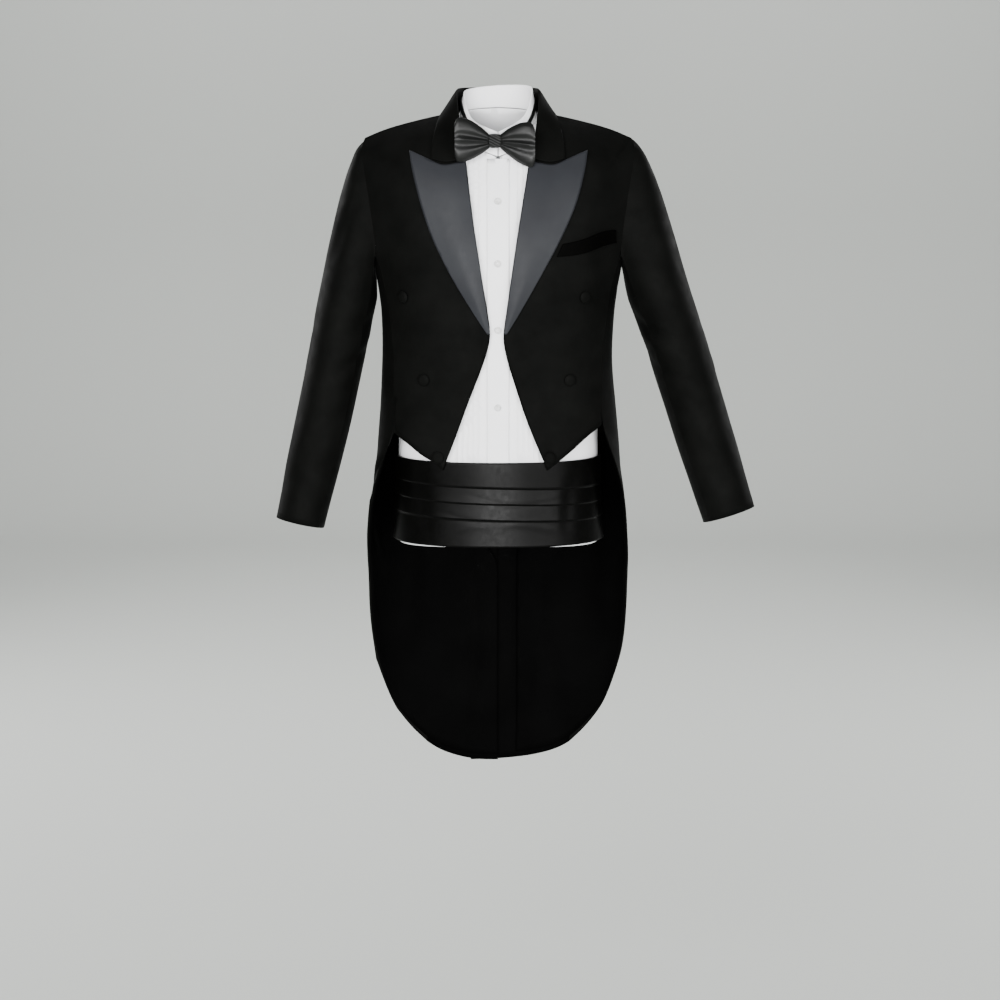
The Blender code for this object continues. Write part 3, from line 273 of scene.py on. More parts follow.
LAPEL_SATIN = SatinFinish("lapel_satin", (0.0125, 0.0132, 0.0160), (0.0172, 0.0185, 0.0212), 0.46, 0.13)
BLACK_SATIN = SatinFinish("black_satin", (0.0005, 0.0005, 0.0004), (0.0010, 0.0010, 0.0009), 0.34, 0.075)
BOW_SATIN = SatinFinish("bow_satin", (0.0028, 0.0030, 0.0028), (0.0053, 0.0056, 0.0053), 0.38, 0.22)
LINING = SatinFinish("lining", (0.0007, 0.0007, 0.0007), (0.0012, 0.0012, 0.0012), 0.62, 0.012, 0.10)
# The welt's satin is darker and duller than the other satins: its black is the welt's own, and the extra dark
# is painted shade of the pocket opening.
WELT_SATIN_PAINTED_SHADE = SatinFinish("welt_satin_painted_shade", (0.0004, 0.0004, 0.0003), (0.0008, 0.0008, 0.0007), 0.55, 0.012, 0.10)


@dataclass(frozen=True)
class CottonFinish:
    """White shirting: plain weave and matt."""

    colour: tuple[float, float, float] = (0.94, 0.94, 0.95)
    shade: tuple[float, float, float] = (0.90, 0.90, 0.915)

    def make(self) -> bpy.types.Material:
        """The material."""
        sheet = NodeSheet("cotton")
        cloth = sheet.thread_map()
        place = sheet.place()
        warp = sheet.ribs(cloth, 190.0, 0.0)
        weft = sheet.ribs(cloth, 190.0, 90.0)
        tone = sheet.grain(place, 18.0, 4.0)
        sheet.ramp(tone, ((0.25, self.shade), (0.65, self.colour)), sheet.shader.inputs["Base Color"])
        sheet.ramp(
            sheet.grain(place, 80.0, 3.0),
            ((0.2, (0.62,) * 3), (0.8, (0.74,) * 3)),
            sheet.shader.inputs["Roughness"],
        )
        sheet.shader.inputs["Sheen Weight"].default_value = 0.08
        sheet.shader.inputs["Specular IOR Level"].default_value = 0.35
        sheet.relief([(tone, 0.22, 0.0010), (warp, 0.18, 0.00008), (weft, 0.18, 0.00008)])
        return sheet.material


@dataclass(frozen=True)
class PearlFinish:
    """Pearl-like shirt button plastic."""

    colour: tuple[float, float, float] = (0.72, 0.72, 0.70)
    shade: tuple[float, float, float] = (0.55, 0.55, 0.56)

    def make(self) -> bpy.types.Material:
        """The material."""
        sheet = NodeSheet("pearl")
        clouds = sheet.grain(sheet.place(), 420.0, 5.0)
        sheet.ramp(clouds, ((0.30, self.shade), (0.70, self.colour)), sheet.shader.inputs["Base Color"])
        sheet.ramp(clouds, ((0.2, (0.20,) * 3), (0.8, (0.32,) * 3)), sheet.shader.inputs["Roughness"])
        sheet.shader.inputs["Coat Weight"].default_value = 0.3
        sheet.relief([(clouds, 0.10, 0.0002)])
        return sheet.material


@dataclass(frozen=True)
class ThreadFinish:
    """Sewing thread."""

    name: str
    colour: tuple[float, float, float]

    def make(self) -> bpy.types.Material:
        """The material."""
        sheet = NodeSheet(self.name)
        ply = sheet.grain(sheet.place(), 2600.0, 2.0)
        darker = tuple(0.75 * channel for channel in self.colour)
        sheet.ramp(ply, ((0.3, darker), (0.7, self.colour)), sheet.shader.inputs["Base Color"])
        sheet.shader.inputs["Roughness"].default_value = 0.55
        sheet.relief([(ply, 0.3, 0.0001)])
        return sheet.material


# Cloth work


@dataclass(frozen=True)
class Crease:
    """One soft trough or ridge on a worn form, from a start to an end in its own map, in metres."""

    start: tuple[float, float]
    end: tuple[float, float]
    width: float
    depth: float

    def height(self, along: Points, up: Points) -> Points:
        """Outward shift that it gives to points of the map.

        Args:
            along: Places round the form.
            up: Places up the form.

        Returns:
            Shift of each point, in metres.
        """
        line = np.subtract(self.end, self.start)
        length = float(np.hypot(*line))
        way = line / length
        off = np.stack((along - self.start[0], up - self.start[1]))
        share = (way[0] * off[0] + way[1] * off[1]) / length
        bend = 0.12 * length * np.sin(math.pi * np.clip(share, 0.0, 1.0)) * (1.0 if self.depth > 0 else -1.0)
        aside = way[0] * off[1] - way[1] * off[0] - bend * 0.5
        inside = np.clip(share, 0.0, 1.0)
        past = (share - inside) * length
        fade = np.sin(math.pi * np.clip(inside, 0.04, 0.96)) ** 0.7
        return self.depth * fade * np.exp(-((aside / self.width) ** 2) - (past / self.width) ** 2)


# Turn from the front, in radians, at which the map of a back panel is cut open
MAP_CUT = -0.6


@dataclass(frozen=True)
class WornMap:
    """The way round a worn form: a straight or bent middle line, and the soft creases laid on it.

    side is 1 or -1 for a form whose map is cut open at the front rather than at the back. calm is how far
    from the armhole the creases fade in, beyond a still strip.
    """

    middle: tuple[tuple[float, float, float], ...]
    radius: float
    creases: tuple[Crease, ...] = ()
    ripple: float = 0.0008
    ripples_per_metre: float = 14.0
    side: float = 0.0
    calm: float = 0.0
    still: float = 0.0030

    def axis_at(self, height: Points) -> tuple[Points, Points]:
        """The middle line's place at each height.

        Args:
            height: Heights of the points.

        Returns:
            Its X and its Y there.
        """
        rows = np.array(sorted(self.middle, key=lambda row: row[2]))
        return np.interp(height, rows[:, 2], rows[:, 0]), np.interp(height, rows[:, 2], rows[:, 1])

    def unrolled(self, points: Points) -> tuple[Points, Points, Points]:
        """The map's coordinates of points, and the outward direction there.

        Args:
            points: Rows of X, Y and Z.

        Returns:
            Place round the form, place up it, and outward directions.
        """
        x, y = self.axis_at(points[:, 2])
        away = np.stack((points[:, 0] - x, points[:, 1] - y, np.zeros(len(points))), axis=1)
        away /= np.maximum(np.linalg.norm(away, axis=1), 1e-6)[:, None]
        turn = np.arctan2(away[:, 0], -away[:, 1])
        if self.side:
            turn = np.where(turn * self.side < MAP_CUT, turn + 2 * math.pi * self.side, turn)
        return turn * self.radius, points[:, 2], away

    def worked(self, points: Points) -> Points:
        """Points with the creases and a faint unevenness worked in.

        Args:
            points: Rows of X, Y and Z.

        Returns:
            The shifted rows.
        """
        along, up, away = self.unrolled(points)
        shift = np.zeros(len(points))
        for crease in self.creases:
            shift += crease.height(along, up)
        seeds = points * self.ripples_per_metre
        shift += self.ripple * np.array([noise.noise(Vector(seed)) for seed in seeds])
        if self.calm > 0.0:
            gap = np.array([ARMHOLES.find(row)[2] for row in points])
            share = np.clip((gap - self.still) / self.calm, 0.0, 1.0)
            shift *= share * share * (3.0 - 2.0 * share)
        return points + shift[:, None] * away

    def worn_shift(self, point: Points) -> Points:
        """How far the creases move one point."""
        row = np.array([point])
        return (self.worked(row) - row)[0]


def points_of(mesh: bpy.types.Mesh) -> Points:
    """A mesh's points as rows."""
    flat = np.empty(len(mesh.vertices) * 3, np.float32)
    mesh.vertices.foreach_get("co", flat)
    return flat.reshape(-1, 3).astype(float)


def solid_points(node: str) -> Points:
    """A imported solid's points as rows."""
    return points_of(frame["nodes"][node].data)


def set_points(mesh: bpy.types.Mesh, points: Points) -> None:
    """Writes rows back as a mesh's points."""
    mesh.vertices.foreach_set("co", points.astype(np.float32).ravel())
    mesh.update()


class Seams:
    """The lines where cut pieces are sewn together, found between the solids' own points."""

    # The furthest that a sewn edge lies from its neighbour, how deep the seam sinks, and the sleeve's tuck
    reach: float = 0.0016
    sink: float = 0.0004
    tuck: float = 0.0016

    def __init__(self, groups: tuple[tuple[str, ...], ...]) -> None:
        """Keeps the points of every group of pieces that are sewn to each other.

        Args:
            groups: Names of solids, one tuple for each group.
        """
        self.near: dict[str, KDTree] = {}
        for group in groups:
            rows = {name: np.unique(solid_points(name).round(6), axis=0) for name in group}
            for name in group:
                self.near[name] = tree_of(np.concatenate([rows[other] for other in group if other != name]))

    def close(self, node: str, shape: bmesh.types.BMesh) -> None:
        """Moves a piece's edge points halfway to the points that they are sewn to, and sinks them a little.

        At an armhole nothing is sunk, and the sleeve's edge goes a little way in under the coat.

        Args:
            node: The solid's name.
            shape: Its merged mesh.
        """
        tree = self.near.get(node)
        if tree is None:
            return
        shape.normal_update()
        widest = [max(vert.link_faces, key=lambda face: face.calc_area()) for vert in shape.verts]
        for vert, facing in zip(shape.verts, [face.normal.copy() for face in widest]):
            place, _, gap = tree.find(vert.co)
            if gap >= self.reach:
                continue
            at_armhole = ARMHOLES.find(vert.co)[2] < self.reach
            vert.co = vert.co.lerp(place, 0.5)
            if not at_armhole:
                vert.co -= facing * self.sink
            elif "sleeve" in node:
                vert.co.x -= math.copysign(self.tuck, vert.co.x)


def tree_of(rows: Points) -> KDTree:
    """A search tree of points."""
    tree = KDTree(len(rows))
    for number, row in enumerate(rows):
        tree.insert(row, number)
    tree.balance()
    return tree


def both(*stems: str) -> tuple[str, ...]:
    """The solids with these stems, on the left and on the right."""
    return tuple(f"{stem}_{side}" for stem in stems for side in ("left", "right"))


SEAMS = Seams(
    (
        both("coat_front", "coat_side_body", "coat_back", "coat_top_sleeve", "coat_under_sleeve"),
        ("shirt_front_left", "shirt_back", "shirt_front_right"),
    )
)


def armhole_points() -> Points:
    """Every point where a sleeve is sewn to its coat panels."""
    found = []
    for side in ("left", "right"):
        panels = [solid_points(f"coat_{name}_{side}") for name in ("front", "side_body", "back")]
        tree = tree_of(np.concatenate(panels))
        for name in ("top_sleeve", "under_sleeve"):
            rows = np.unique(solid_points(f"coat_{name}_{side}").round(6), axis=0)
            found += [row for row in rows if tree.find(row)[2] < Seams.reach]
    return np.array(found)


ARMHOLES = tree_of(armhole_points())


def merged_copy(node: str) -> bmesh.types.BMesh:
    """A solid's mesh with doubles merged, seams closed, triangles paired and pressed edges marked.

    Args:
        node: The solid's name.

    Returns:
        The new mesh, which the caller frees.
    """
    shape = bmesh.new()
    shape.from_mesh(frame["nodes"][node].data)
    bmesh.ops.remove_doubles(shape, verts=shape.verts, dist=MERGE_REACH)
    SEAMS.close(node, shape)
    bmesh.ops.join_triangles(
        shape,
        faces=shape.faces,
        angle_face_threshold=math.radians(40),
        angle_shape_threshold=math.radians(60),
    )
    mark_pressed_edges(shape)
    return shape


def mark_pressed_edges(shape: bmesh.types.BMesh) -> None:
    """Marks edges that turn by more than the pressed turn, so that subdividing keeps them.

    Args:
        shape: The mesh.
    """
    layers = shape.edges.layers.float
    layer = layers.get("crease_edge") or layers.new("crease_edge")
    for edge in shape.edges:
        if len(edge.link_faces) == 2 and edge.calc_face_angle(0.0) > math.radians(PRESSED_TURN):
            edge[layer] = 1.0


def subdivided(shape: bmesh.types.BMesh, levels: int) -> bpy.types.Mesh:
    """The mesh after smooth subdivision. It frees the one given.

    Args:
        shape: The coarse mesh.
        levels: Times that each face is split.

    Returns:
        The dense mesh.
    """
    coarse = bpy.data.meshes.new("coarse")
    shape.to_mesh(coarse)
    shape.free()
    item = bpy.data.objects.new("coarse", coarse)
    bpy.context.scene.collection.objects.link(item)
    modifier = item.modifiers.new("smooth", "SUBSURF")
    modifier.levels = levels
    modifier.render_levels = levels
    modifier.boundary_smooth = "PRESERVE_CORNERS"
    dense = bpy.data.meshes.new_from_object(item.evaluated_get(bpy.context.evaluated_depsgraph_get()))
    bpy.data.objects.remove(item)
    bpy.data.meshes.remove(coarse)
    return dense


def add_cloth_map(mesh: bpy.types.Mesh, worn: WornMap) -> None:
    """Lays the cloth map of a worn form on a mesh, in metres.

    Args:
        mesh: The mesh.
        worn: The form that it was cut for.
    """
    along, up, _ = worn.unrolled(points_of(mesh))
    corners = np.empty(len(mesh.loops), np.int32)
    mesh.loops.foreach_get("vertex_index", corners)
    layer = mesh.uv_layers.get("cloth") or mesh.uv_layers.new(name="cloth")
    places = np.stack((along[corners], up[corners]), axis=1).astype(np.float32)
    layer.data.foreach_set("uv", places.ravel())


def finished(name: str, mesh: bpy.types.Mesh, material: bpy.types.Material) -> bpy.types.Object:
    """Links a mesh as a smooth piece that rides on the one body.

    Args:
        name: The piece's name.
        mesh: Its mesh.
        material: Its material.

    Returns:
        The object.
    """
    mesh.name = name
    mesh.materials.clear()
    mesh.materials.append(material)
    mesh.shade_smooth()
    mesh.set_sharp_from_angle(angle=math.radians(PRESSED_TURN))
    item = bpy.data.objects.new(name, mesh)
    bpy.context.scene.collection.objects.link(item)
    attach(item, "root")
    LOG.info("%s: %d faces", name, len(mesh.polygons))
    return item


@dataclass(frozen=True)
class Cut:
    """The flat cut of one piece: its box, its share of it, and how it is held."""

    width: float
    length: float
    share: float = 1.0
    held: Held = Held.HUNG
    rests_on: tuple[str, ...] = ()

    def declare(self, item: bpy.types.Object) -> None:
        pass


def sewn_copy(
    node: str, worn: WornMap, material: bpy.types.Material, cut: Cut, levels: int = 2
) -> bpy.types.Object:
    """A dense, worked copy of one solid, which it stands for.

    Args:
        node: The solid's name.
        worn: The form that it is worn on, with its creases.
        material: Its finish.
        cut: Its flat cut.
        levels: Times that each face is split.

    Returns:
        The piece.
    """
    mesh = subdivided(merged_copy(node), levels)
    add_cloth_map(mesh, worn)
    set_points(mesh, worn.worked(points_of(mesh)))
    item = finished(f"{node}_cloth", mesh, material)
    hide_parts(node)
    cut.declare(item)
    return item


@dataclass(frozen=True)
class StitchLine:
    """A row of hand-sized stitches along a line on a finished piece."""

    name: str
    pitch: float = 0.0032
    length: float = 0.0021
    width: float = 0.00045

    def sew(
        self, paths: list[list[tuple[Vector, Vector]]], material: bpy.types.Material
    ) -> bpy.types.Object:
        """Builds every stitch of the line as one piece.

        Args:
            paths: Lines of point and outward direction.
            material: The thread's finish.

        Returns:
            The piece.
        """
        shape = bmesh.new()
        for path in paths:
            for spot, way, out in self.spots(path):
                turn = Matrix((way, out.cross(way), out)).transposed().to_4x4()
                size = Matrix.Diagonal((self.length / 2, self.width / 2, self.width * 0.35, 1.0))
                bmesh.ops.create_icosphere(
                    shape, subdivisions=1, radius=1.0, matrix=Matrix.Translation(spot) @ turn @ size
                )
        mesh = bpy.data.meshes.new(self.name)
        shape.to_mesh(mesh)
        shape.free()
        return finished(self.name, mesh, material)

    def spots(self, path: list[tuple[Vector, Vector]]) -> list[tuple[Vector, Vector, Vector]]:
        """Middle, direction and outward direction of each stitch along a path."""
        made = []
        left = 0.5 * self.pitch
        for (start, out), (end, _) in zip(path, path[1:]):
            step = end - start
            run = step.length
            way = step.normalized()
            facing = (out - out.dot(way) * way).normalized()
            while left < run:
                made.append((start + way * left, way, facing))
                left += self.pitch
            left -= run
        return made


# Y of a plane in front of the whole suit
IN_FRONT = -0.5


class Surface:
    """A finished piece's outer side, to lay seams and trims on."""

    def __init__(self, item: bpy.types.Object) -> None:
        """Keeps the piece."""
        self.item = item

    def under(self, spot: Vector, way: Vector, lift: float) -> tuple[Vector, Vector] | None:
        """Where a ray meets the piece.

        Args:
            spot: The ray's start.
            way: Its direction.
            lift: How far above the surface the point lies.

        Returns:
            Point and outward direction, or None where it misses.
        """
        hit, place, facing, _ = self.item.ray_cast(spot, way)
        return (place + facing * lift, facing.copy()) if hit else None

    def front_line(
        self, line: list[tuple[float, float]], lift: float = 0.0001
    ) -> list[tuple[Vector, Vector]]:
        """A line given by X and Z, dropped on the piece from the front."""
        back = Vector((0.0, 1.0, 0.0))
        found = [self.under(Vector((x, IN_FRONT, z)), back, lift) for x, z in line]
        return [row for row in found if row is not None]


def evenly(rows: tuple[tuple[float, float], ...], step: float = 0.004) -> list[tuple[float, float]]:
    """Points no further apart than a step along a bent line."""
    made = []
    for start, end in zip(rows, rows[1:]):
        count = max(1, math.ceil(math.dist(start, end) / step))
        for k in range(count):
            made.append(tuple(a + (b - a) * k / count for a, b in zip(start, end)))
    return made + [rows[-1]]


# The coat

TRUNK_MIDDLE = ((0.0, 0.0, 0.1), (0.0, 0.0, -1.2))
NECK_MIDDLE = ((0.0, -0.01, 0.1), (0.0, -0.01, -0.2))
TRUNK_RADIUS = 0.17
TRUNK_CREASES = (
    Crease((0.198, -0.150), (0.214, -0.300), 0.020, -0.0022),
    Crease((0.150, -0.300), (0.232, -0.262), 0.018, -0.0014),
    Crease((0.112, -0.420), (0.236, -0.372), 0.020, -0.0016),
    Crease((0.104, -0.452), (0.222, -0.446), 0.018, 0.0013),
    Crease((0.094, -0.500), (0.190, -0.470), 0.016, -0.0011),
    Crease((0.262, -0.285), (0.285, -0.500), 0.015, -0.0030),
    Crease((0.300, -0.300), (0.322, -0.540), 0.016, 0.0026),
    Crease((0.362, -0.235), (0.430, -0.405), 0.016, -0.0034),
    Crease((0.402, -0.160), (0.470, -0.300), 0.020, 0.0028),
    Crease((0.345, -0.420), (0.500, -0.452), 0.013, -0.0030),
    Crease((0.360, -0.470), (0.505, -0.494), 0.013, 0.0024),
    Crease((0.335, -0.520), (0.490, -0.530), 0.014, -0.0022),
    Crease((0.330, -0.590), (0.372, -0.930), 0.019, -0.0046),
    Crease((0.392, -0.600), (0.418, -1.000), 0.020, 0.0050),
    Crease((0.440, -0.640), (0.462, -1.060), 0.017, -0.0046),
    Crease((0.486, -0.680), (0.494, -1.080), 0.018, 0.0036),
    Crease((0.275, -0.560), (0.300, -0.760), 0.015, 0.0028),
)


def other_side(creases: tuple[Crease, ...], wander: float, share: float) -> tuple[Crease, ...]:
    """The creases of the other side: alike, but uneven.

    Args:
        creases: Creases of the wearer's left.
        wander: How far each strays, in metres.
        share: How deep they are against the left ones.

    Returns:
        The creases of the wearer's right.
    """
    made = []
    for k, crease in enumerate(creases):
        stray = wander * math.sin(2.4 * k + 1.0)
        sink = wander * math.cos(1.7 * k)
        made.append(
            Crease(
                (-crease.start[0] + stray, crease.start[1] + sink),
                (-crease.end[0] - stray, crease.end[1] + 0.6 * sink),
                crease.width * (1.0 + 0.12 * math.sin(k)),
                crease.depth * (share + 0.25 * math.cos(3.1 * k)),
            )
        )
    return tuple(made)


def trunk(side: float = 0.0, creases: tuple[Crease, ...] | None = None) -> WornMap:
    """The coat's own worn map; side keeps a back panel's map whole across the centre back."""
    if creases is None:
        creases = TRUNK_CREASES + other_side(TRUNK_CREASES, 0.012, 0.85)
    return WornMap(TRUNK_MIDDLE, TRUNK_RADIUS, creases, side=side, calm=0.022)


@dataclass
class Tailcoat:
    """The coat's cut panels: fronts, side bodies, backs with their tails, and the tails' linings."""

    wool: bpy.types.Material
    lining: bpy.types.Material
    front: Cut = Cut(0.270, 0.575, 0.60)
    side_body: Cut = Cut(0.190, 0.860, 0.62)
    back: Cut = Cut(0.270, 1.120, 0.63)
    tail_lining: Cut = Cut(0.270, 0.640, 0.63, Held.HUNG)
    vent_top: float = -0.58
    facing_in: float = -0.2

    def build(self) -> list[bpy.types.Object]:
        """Every panel of the coat's body.

        Returns:
            The pieces.
        """
        made = []
        for name, side in (("left", 1.0), ("right", -1.0)):
            worn = trunk(side)
            made.append(sewn_copy(f"coat_front_{name}", trunk(), self.wool, self.front))
            made.append(sewn_copy(f"coat_side_body_{name}", worn, self.wool, self.side_body, 3))
            back = sewn_copy(f"coat_back_{name}", worn, self.wool, self.back)
            self.face_vent(back)
            made.append(back)
            made.append(sewn_copy(f"tail_lining_{name}", worn, self.lining, self.tail_lining))
        return made

    def face_vent(self, back: bpy.types.Object) -> None:
        """Gives the inner side of a back's tail its lining's cloth, which faces the vent's edges.

        Args:
            back: The back with its tail.
        """
        back.data.materials.append(self.lining)
        for face in back.data.polygons:
            if face.center.z < self.vent_top and face.normal.y < self.facing_in:
                face.material_index = 1


ARM_CREASES = (
    Crease((-0.010, -0.120), (0.020, -0.255), 0.014, -0.0024),
    Crease((0.060, -0.110), (0.052, -0.300), 0.016, 0.0020),
    Crease((-0.070, -0.320), (0.010, -0.362), 0.010, -0.0036),
    Crease((-0.080, -0.352), (0.024, -0.398), 0.010, 0.0026),
    Crease((-0.084, -0.382), (0.010, -0.424), 0.009, -0.0034),
    Crease((-0.060, -0.430), (0.030, -0.452), 0.010, -0.0022),
    Crease((0.070, -0.340), (0.140, -0.372), 0.011, -0.0024),
    Crease((0.060, -0.400), (0.130, -0.418), 0.010, 0.0018),
    Crease((-0.020, -0.470), (0.018, -0.600), 0.014, -0.0022),
    Crease((0.064, -0.450), (0.080, -0.610), 0.016, 0.0020),
    Crease((-0.060, -0.560), (0.040, -0.588), 0.011, -0.0020),
)
ARM_LINE_RIGHT = (
    (-0.222, 0.004, 0.0),
    (-0.2225, 0.004, -0.140),
    (-0.2445, 0.002, -0.295),
    (-0.2715, -0.008, -0.440),
    (-0.3025, -0.020, -0.575),
    (-0.3225, -0.029, -0.662),
    (-0.3300, -0.032, -0.700),
)
ARM_LINE_LEFT = (
    (0.222, 0.004, 0.0),
    (0.2225, 0.004, -0.140),
    (0.2590, 0.002, -0.290),
    (0.3060, -0.008, -0.430),
    (0.3500, -0.020, -0.570),
    (0.3755, -0.029, -0.6485),
    (0.3900, -0.034, -0.700),
)


@dataclass
class Sleeves:
    """Top sleeve and under sleeve of each arm."""

    wool: bpy.types.Material
    top: Cut = Cut(0.270, 0.640, 0.72)
    under: Cut = Cut(0.150, 0.525, 0.72)

    def worn(self, name: str) -> WornMap:
        """The worn map of one arm."""
        if name == "left":
            return WornMap(ARM_LINE_LEFT, 0.047, ARM_CREASES, calm=0.030)
        return WornMap(ARM_LINE_RIGHT, 0.047, other_side(ARM_CREASES, 0.010, 0.9), calm=0.030)

    def build(self) -> list[bpy.types.Object]:
        """Both sleeves.

        Returns:
            The pieces.
        """
        made = []
        for name in ("left", "right"):
            worn = self.worn(name)
            made.append(sewn_copy(f"coat_top_sleeve_{name}", worn, self.wool, self.top, 3))
            made.append(sewn_copy(f"coat_under_sleeve_{name}", worn, self.wool, self.under, 3))
        return made


@dataclass
class Facings:
    """Collar, satin peaked lapels and the breast welt."""

    wool: bpy.types.Material
    satin: bpy.types.Material
    welt_satin_painted_shade: bpy.types.Material
    collar: Cut = Cut(0.480, 0.105, 0.65, Held.FOLDED)
    lapel: Cut = Cut(0.135, 0.300, 0.43, Held.FOLDED)
    welt: Cut = Cut(0.112, 0.026, 0.86, Held.FOLDED)

    def build(self) -> list[bpy.types.Object]:
        """The facings.

        Returns:
            The pieces.
        """
        neck = WornMap(NECK_MIDDLE, 0.075, ripple=0.0004)
        made = [sewn_copy("coat_collar", neck, self.wool, self.collar, 3)]
        for name in ("left", "right"):
            cut = replace(self.lapel, rests_on=(f"coat_front_{name}",))
            made.append(sewn_copy(f"lapel_{name}", trunk(), self.satin, cut, 3))
        # The welt's finish carries painted shade of the pocket opening over its own black.
        made.append(sewn_copy("breast_welt", trunk(), self.welt_satin_painted_shade, self.welt, 3))
        return made


@dataclass
class Button:
    """A round button turned from a profile of radius share and height share."""

    radius: float
    height: float
    profile: tuple[tuple[float, float], ...]
    segments: int = 40

    def build(
        self, node: str, worn: WornMap | None, material: bpy.types.Material, slot: Slot, seat: float = 0.0
    ) -> bpy.types.Object:
        """The button in its solid's place.

        Args:
            node: The solid that it stands for.
            worn: The form whose creases it follows, if any.
            material: Its finish.
            slot: The record's slot. It is not used.
            seat: How far it is set down towards the cloth.

        Returns:
            The piece.
        """
        rows = solid_points(node)
        middle = rows.mean(axis=0)
        out = self.facing(rows - middle)
        low = float(((rows - middle) @ out).min())
        foot = middle + out * (low - seat)
        if worn is not None:
            foot += worn.worn_shift(foot)
        shape = self.turned()
        turn = Vector(out).to_track_quat("Z", "Y").to_matrix().to_4x4()
        bmesh.ops.transform(shape, matrix=Matrix.Translation(Vector(foot)) @ turn, verts=shape.verts)
        mesh = bpy.data.meshes.new(node)
        shape.to_mesh(mesh)
        shape.free()
        add_cloth_map(mesh, trunk(creases=()))
        item = finished(f"{node}_turned", mesh, material)
        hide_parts(node)
        return item

    def turned(self) -> bmesh.types.BMesh:
        """The button round its own axis, from its foot up. An end of the profile on the axis is one point."""
        shape = bmesh.new()
        rings = []
        for share, rise in self.profile:
            turns = [2 * math.pi * k / self.segments for k in range(self.segments if share > 0.0 else 1)]
            reach = self.radius * share
            ring = [(reach * math.cos(turn), reach * math.sin(turn), self.height * rise) for turn in turns]
            rings.append([shape.verts.new(place) for place in ring])
        for low, high in zip(rings, rings[1:]):
            for k in range(self.segments):
                here = (low[k % len(low)], high[k % len(high)])
                after = (low[(k + 1) % len(low)], high[(k + 1) % len(high)])
                corners = dict.fromkeys((here[0], after[0], after[1], here[1]))
                shape.faces.new(list(corners))
        return shape

    def facing(self, rows: Points) -> Points:
        """Outward direction of a flat round solid: its shortest way, towards the front."""
        _, _, ways = np.linalg.svd(rows, full_matrices=False)
        out = ways[-1]
        return out if out[1] < 0 else -out


COVERED_PROFILE = (
    (0.0, 0.02),
    (0.80, 0.0),
    (0.95, 0.10),
    (1.0, 0.30),
    (0.985, 0.48),
    (0.93, 0.60),
    (0.89, 0.60),
    (0.86, 0.66),
    (0.78, 0.80),
    (0.60, 0.93),
    (0.34, 0.99),
    (0.0, 1.0),
)
PEARL_PROFILE = (
    (0.0, 0.02),
    (0.86, 0.0),
    (0.98, 0.18),
    (1.0, 0.45),
    (0.96, 0.82),
    (0.86, 1.0),
    (0.74, 0.96),
    (0.62, 0.60),
    (0.40, 0.46),
    (0.0, 0.44),
)


@dataclass
class CoatButtons:
    """Six covered buttons, three on each front."""

    cloth: bpy.types.Material
    button: Button = field(default_factory=lambda: Button(0.0100, 0.0048, COVERED_PROFILE))

    def build(self) -> list[bpy.types.Object]:
        """The six buttons.

        Returns:
            The pieces.
        """
        names = both(*(f"coat_button_{row}" for row in ("upper", "middle", "lower")))
        return [self.button.build(name, trunk(), self.cloth, Slot.BUTTON) for name in names]


# The shirt


@dataclass(frozen=True)
class Tucks:
    """Narrow pressed tucks down each shirt front, with their fold edges away from the placket.

    They fade in above the low end and out below the high end, each over its own run.
    """

    first: float = 0.0225
    pitch: float = 0.0085
    count: int = 5
    drop: float = 0.0009
    height: float = 0.0011
    low: float = -0.60
    low_run: float = 0.05
    high: float = -0.058
    high_run: float = 0.02
    slack: float = 1e-5

    def cuts(self) -> list[float]:
        """Distances from the middle at which the cloth bends."""
        edges = [self.first + self.pitch * k for k in range(self.count + 1)]
        return sorted(edges + [edge - self.drop for edge in edges[1:]])

    def lift(self, points: Points) -> Points:
        """Forward shift of the front's points.

        Args:
            points: Rows of X, Y and Z.

        Returns:
            The shift of each point.
        """
        reach = np.abs(points[:, 0]) - self.first
        inside = (reach > -self.slack) & (reach < self.pitch * self.count - self.slack) & (points[:, 1] < 0)
        along = np.mod(reach + self.slack, self.pitch)
        share = along / (self.pitch - self.drop)
        falling = np.clip((self.pitch - along) / self.drop, 0.0, 1.0)
        rise = np.where(share > 1.0, falling, share)
        above = np.clip((points[:, 2] - self.low) / self.low_run, 0.0, 1.0)
        below = np.clip((self.high - points[:, 2]) / self.high_run, 0.0, 1.0)
        return np.where(inside, self.height * rise * above * below, 0.0)


SHIRT_CREASES = (
    Crease((-0.030, -0.452), (0.042, -0.446), 0.006, -0.0012),
    Crease((-0.050, -0.508), (0.060, -0.490), 0.010, 0.0016),
    Crease((-0.075, -0.530), (-0.012, -0.478), 0.009, -0.0016),
    Crease((0.018, -0.520), (0.078, -0.545), 0.010, -0.0014),
    Crease((-0.020, -0.300), (0.030, -0.296), 0.006, -0.0008),
    Crease((-0.046, -0.128), (-0.014, -0.086), 0.006, 0.0012),
    Crease((0.040, -0.130), (0.012, -0.088), 0.006, 0.0012),
    Crease((0.110, -0.520), (0.190, -0.560), 0.011, -0.0020),
    Crease((-0.110, -0.530), (-0.185, -0.555), 0.011, -0.0020),
)


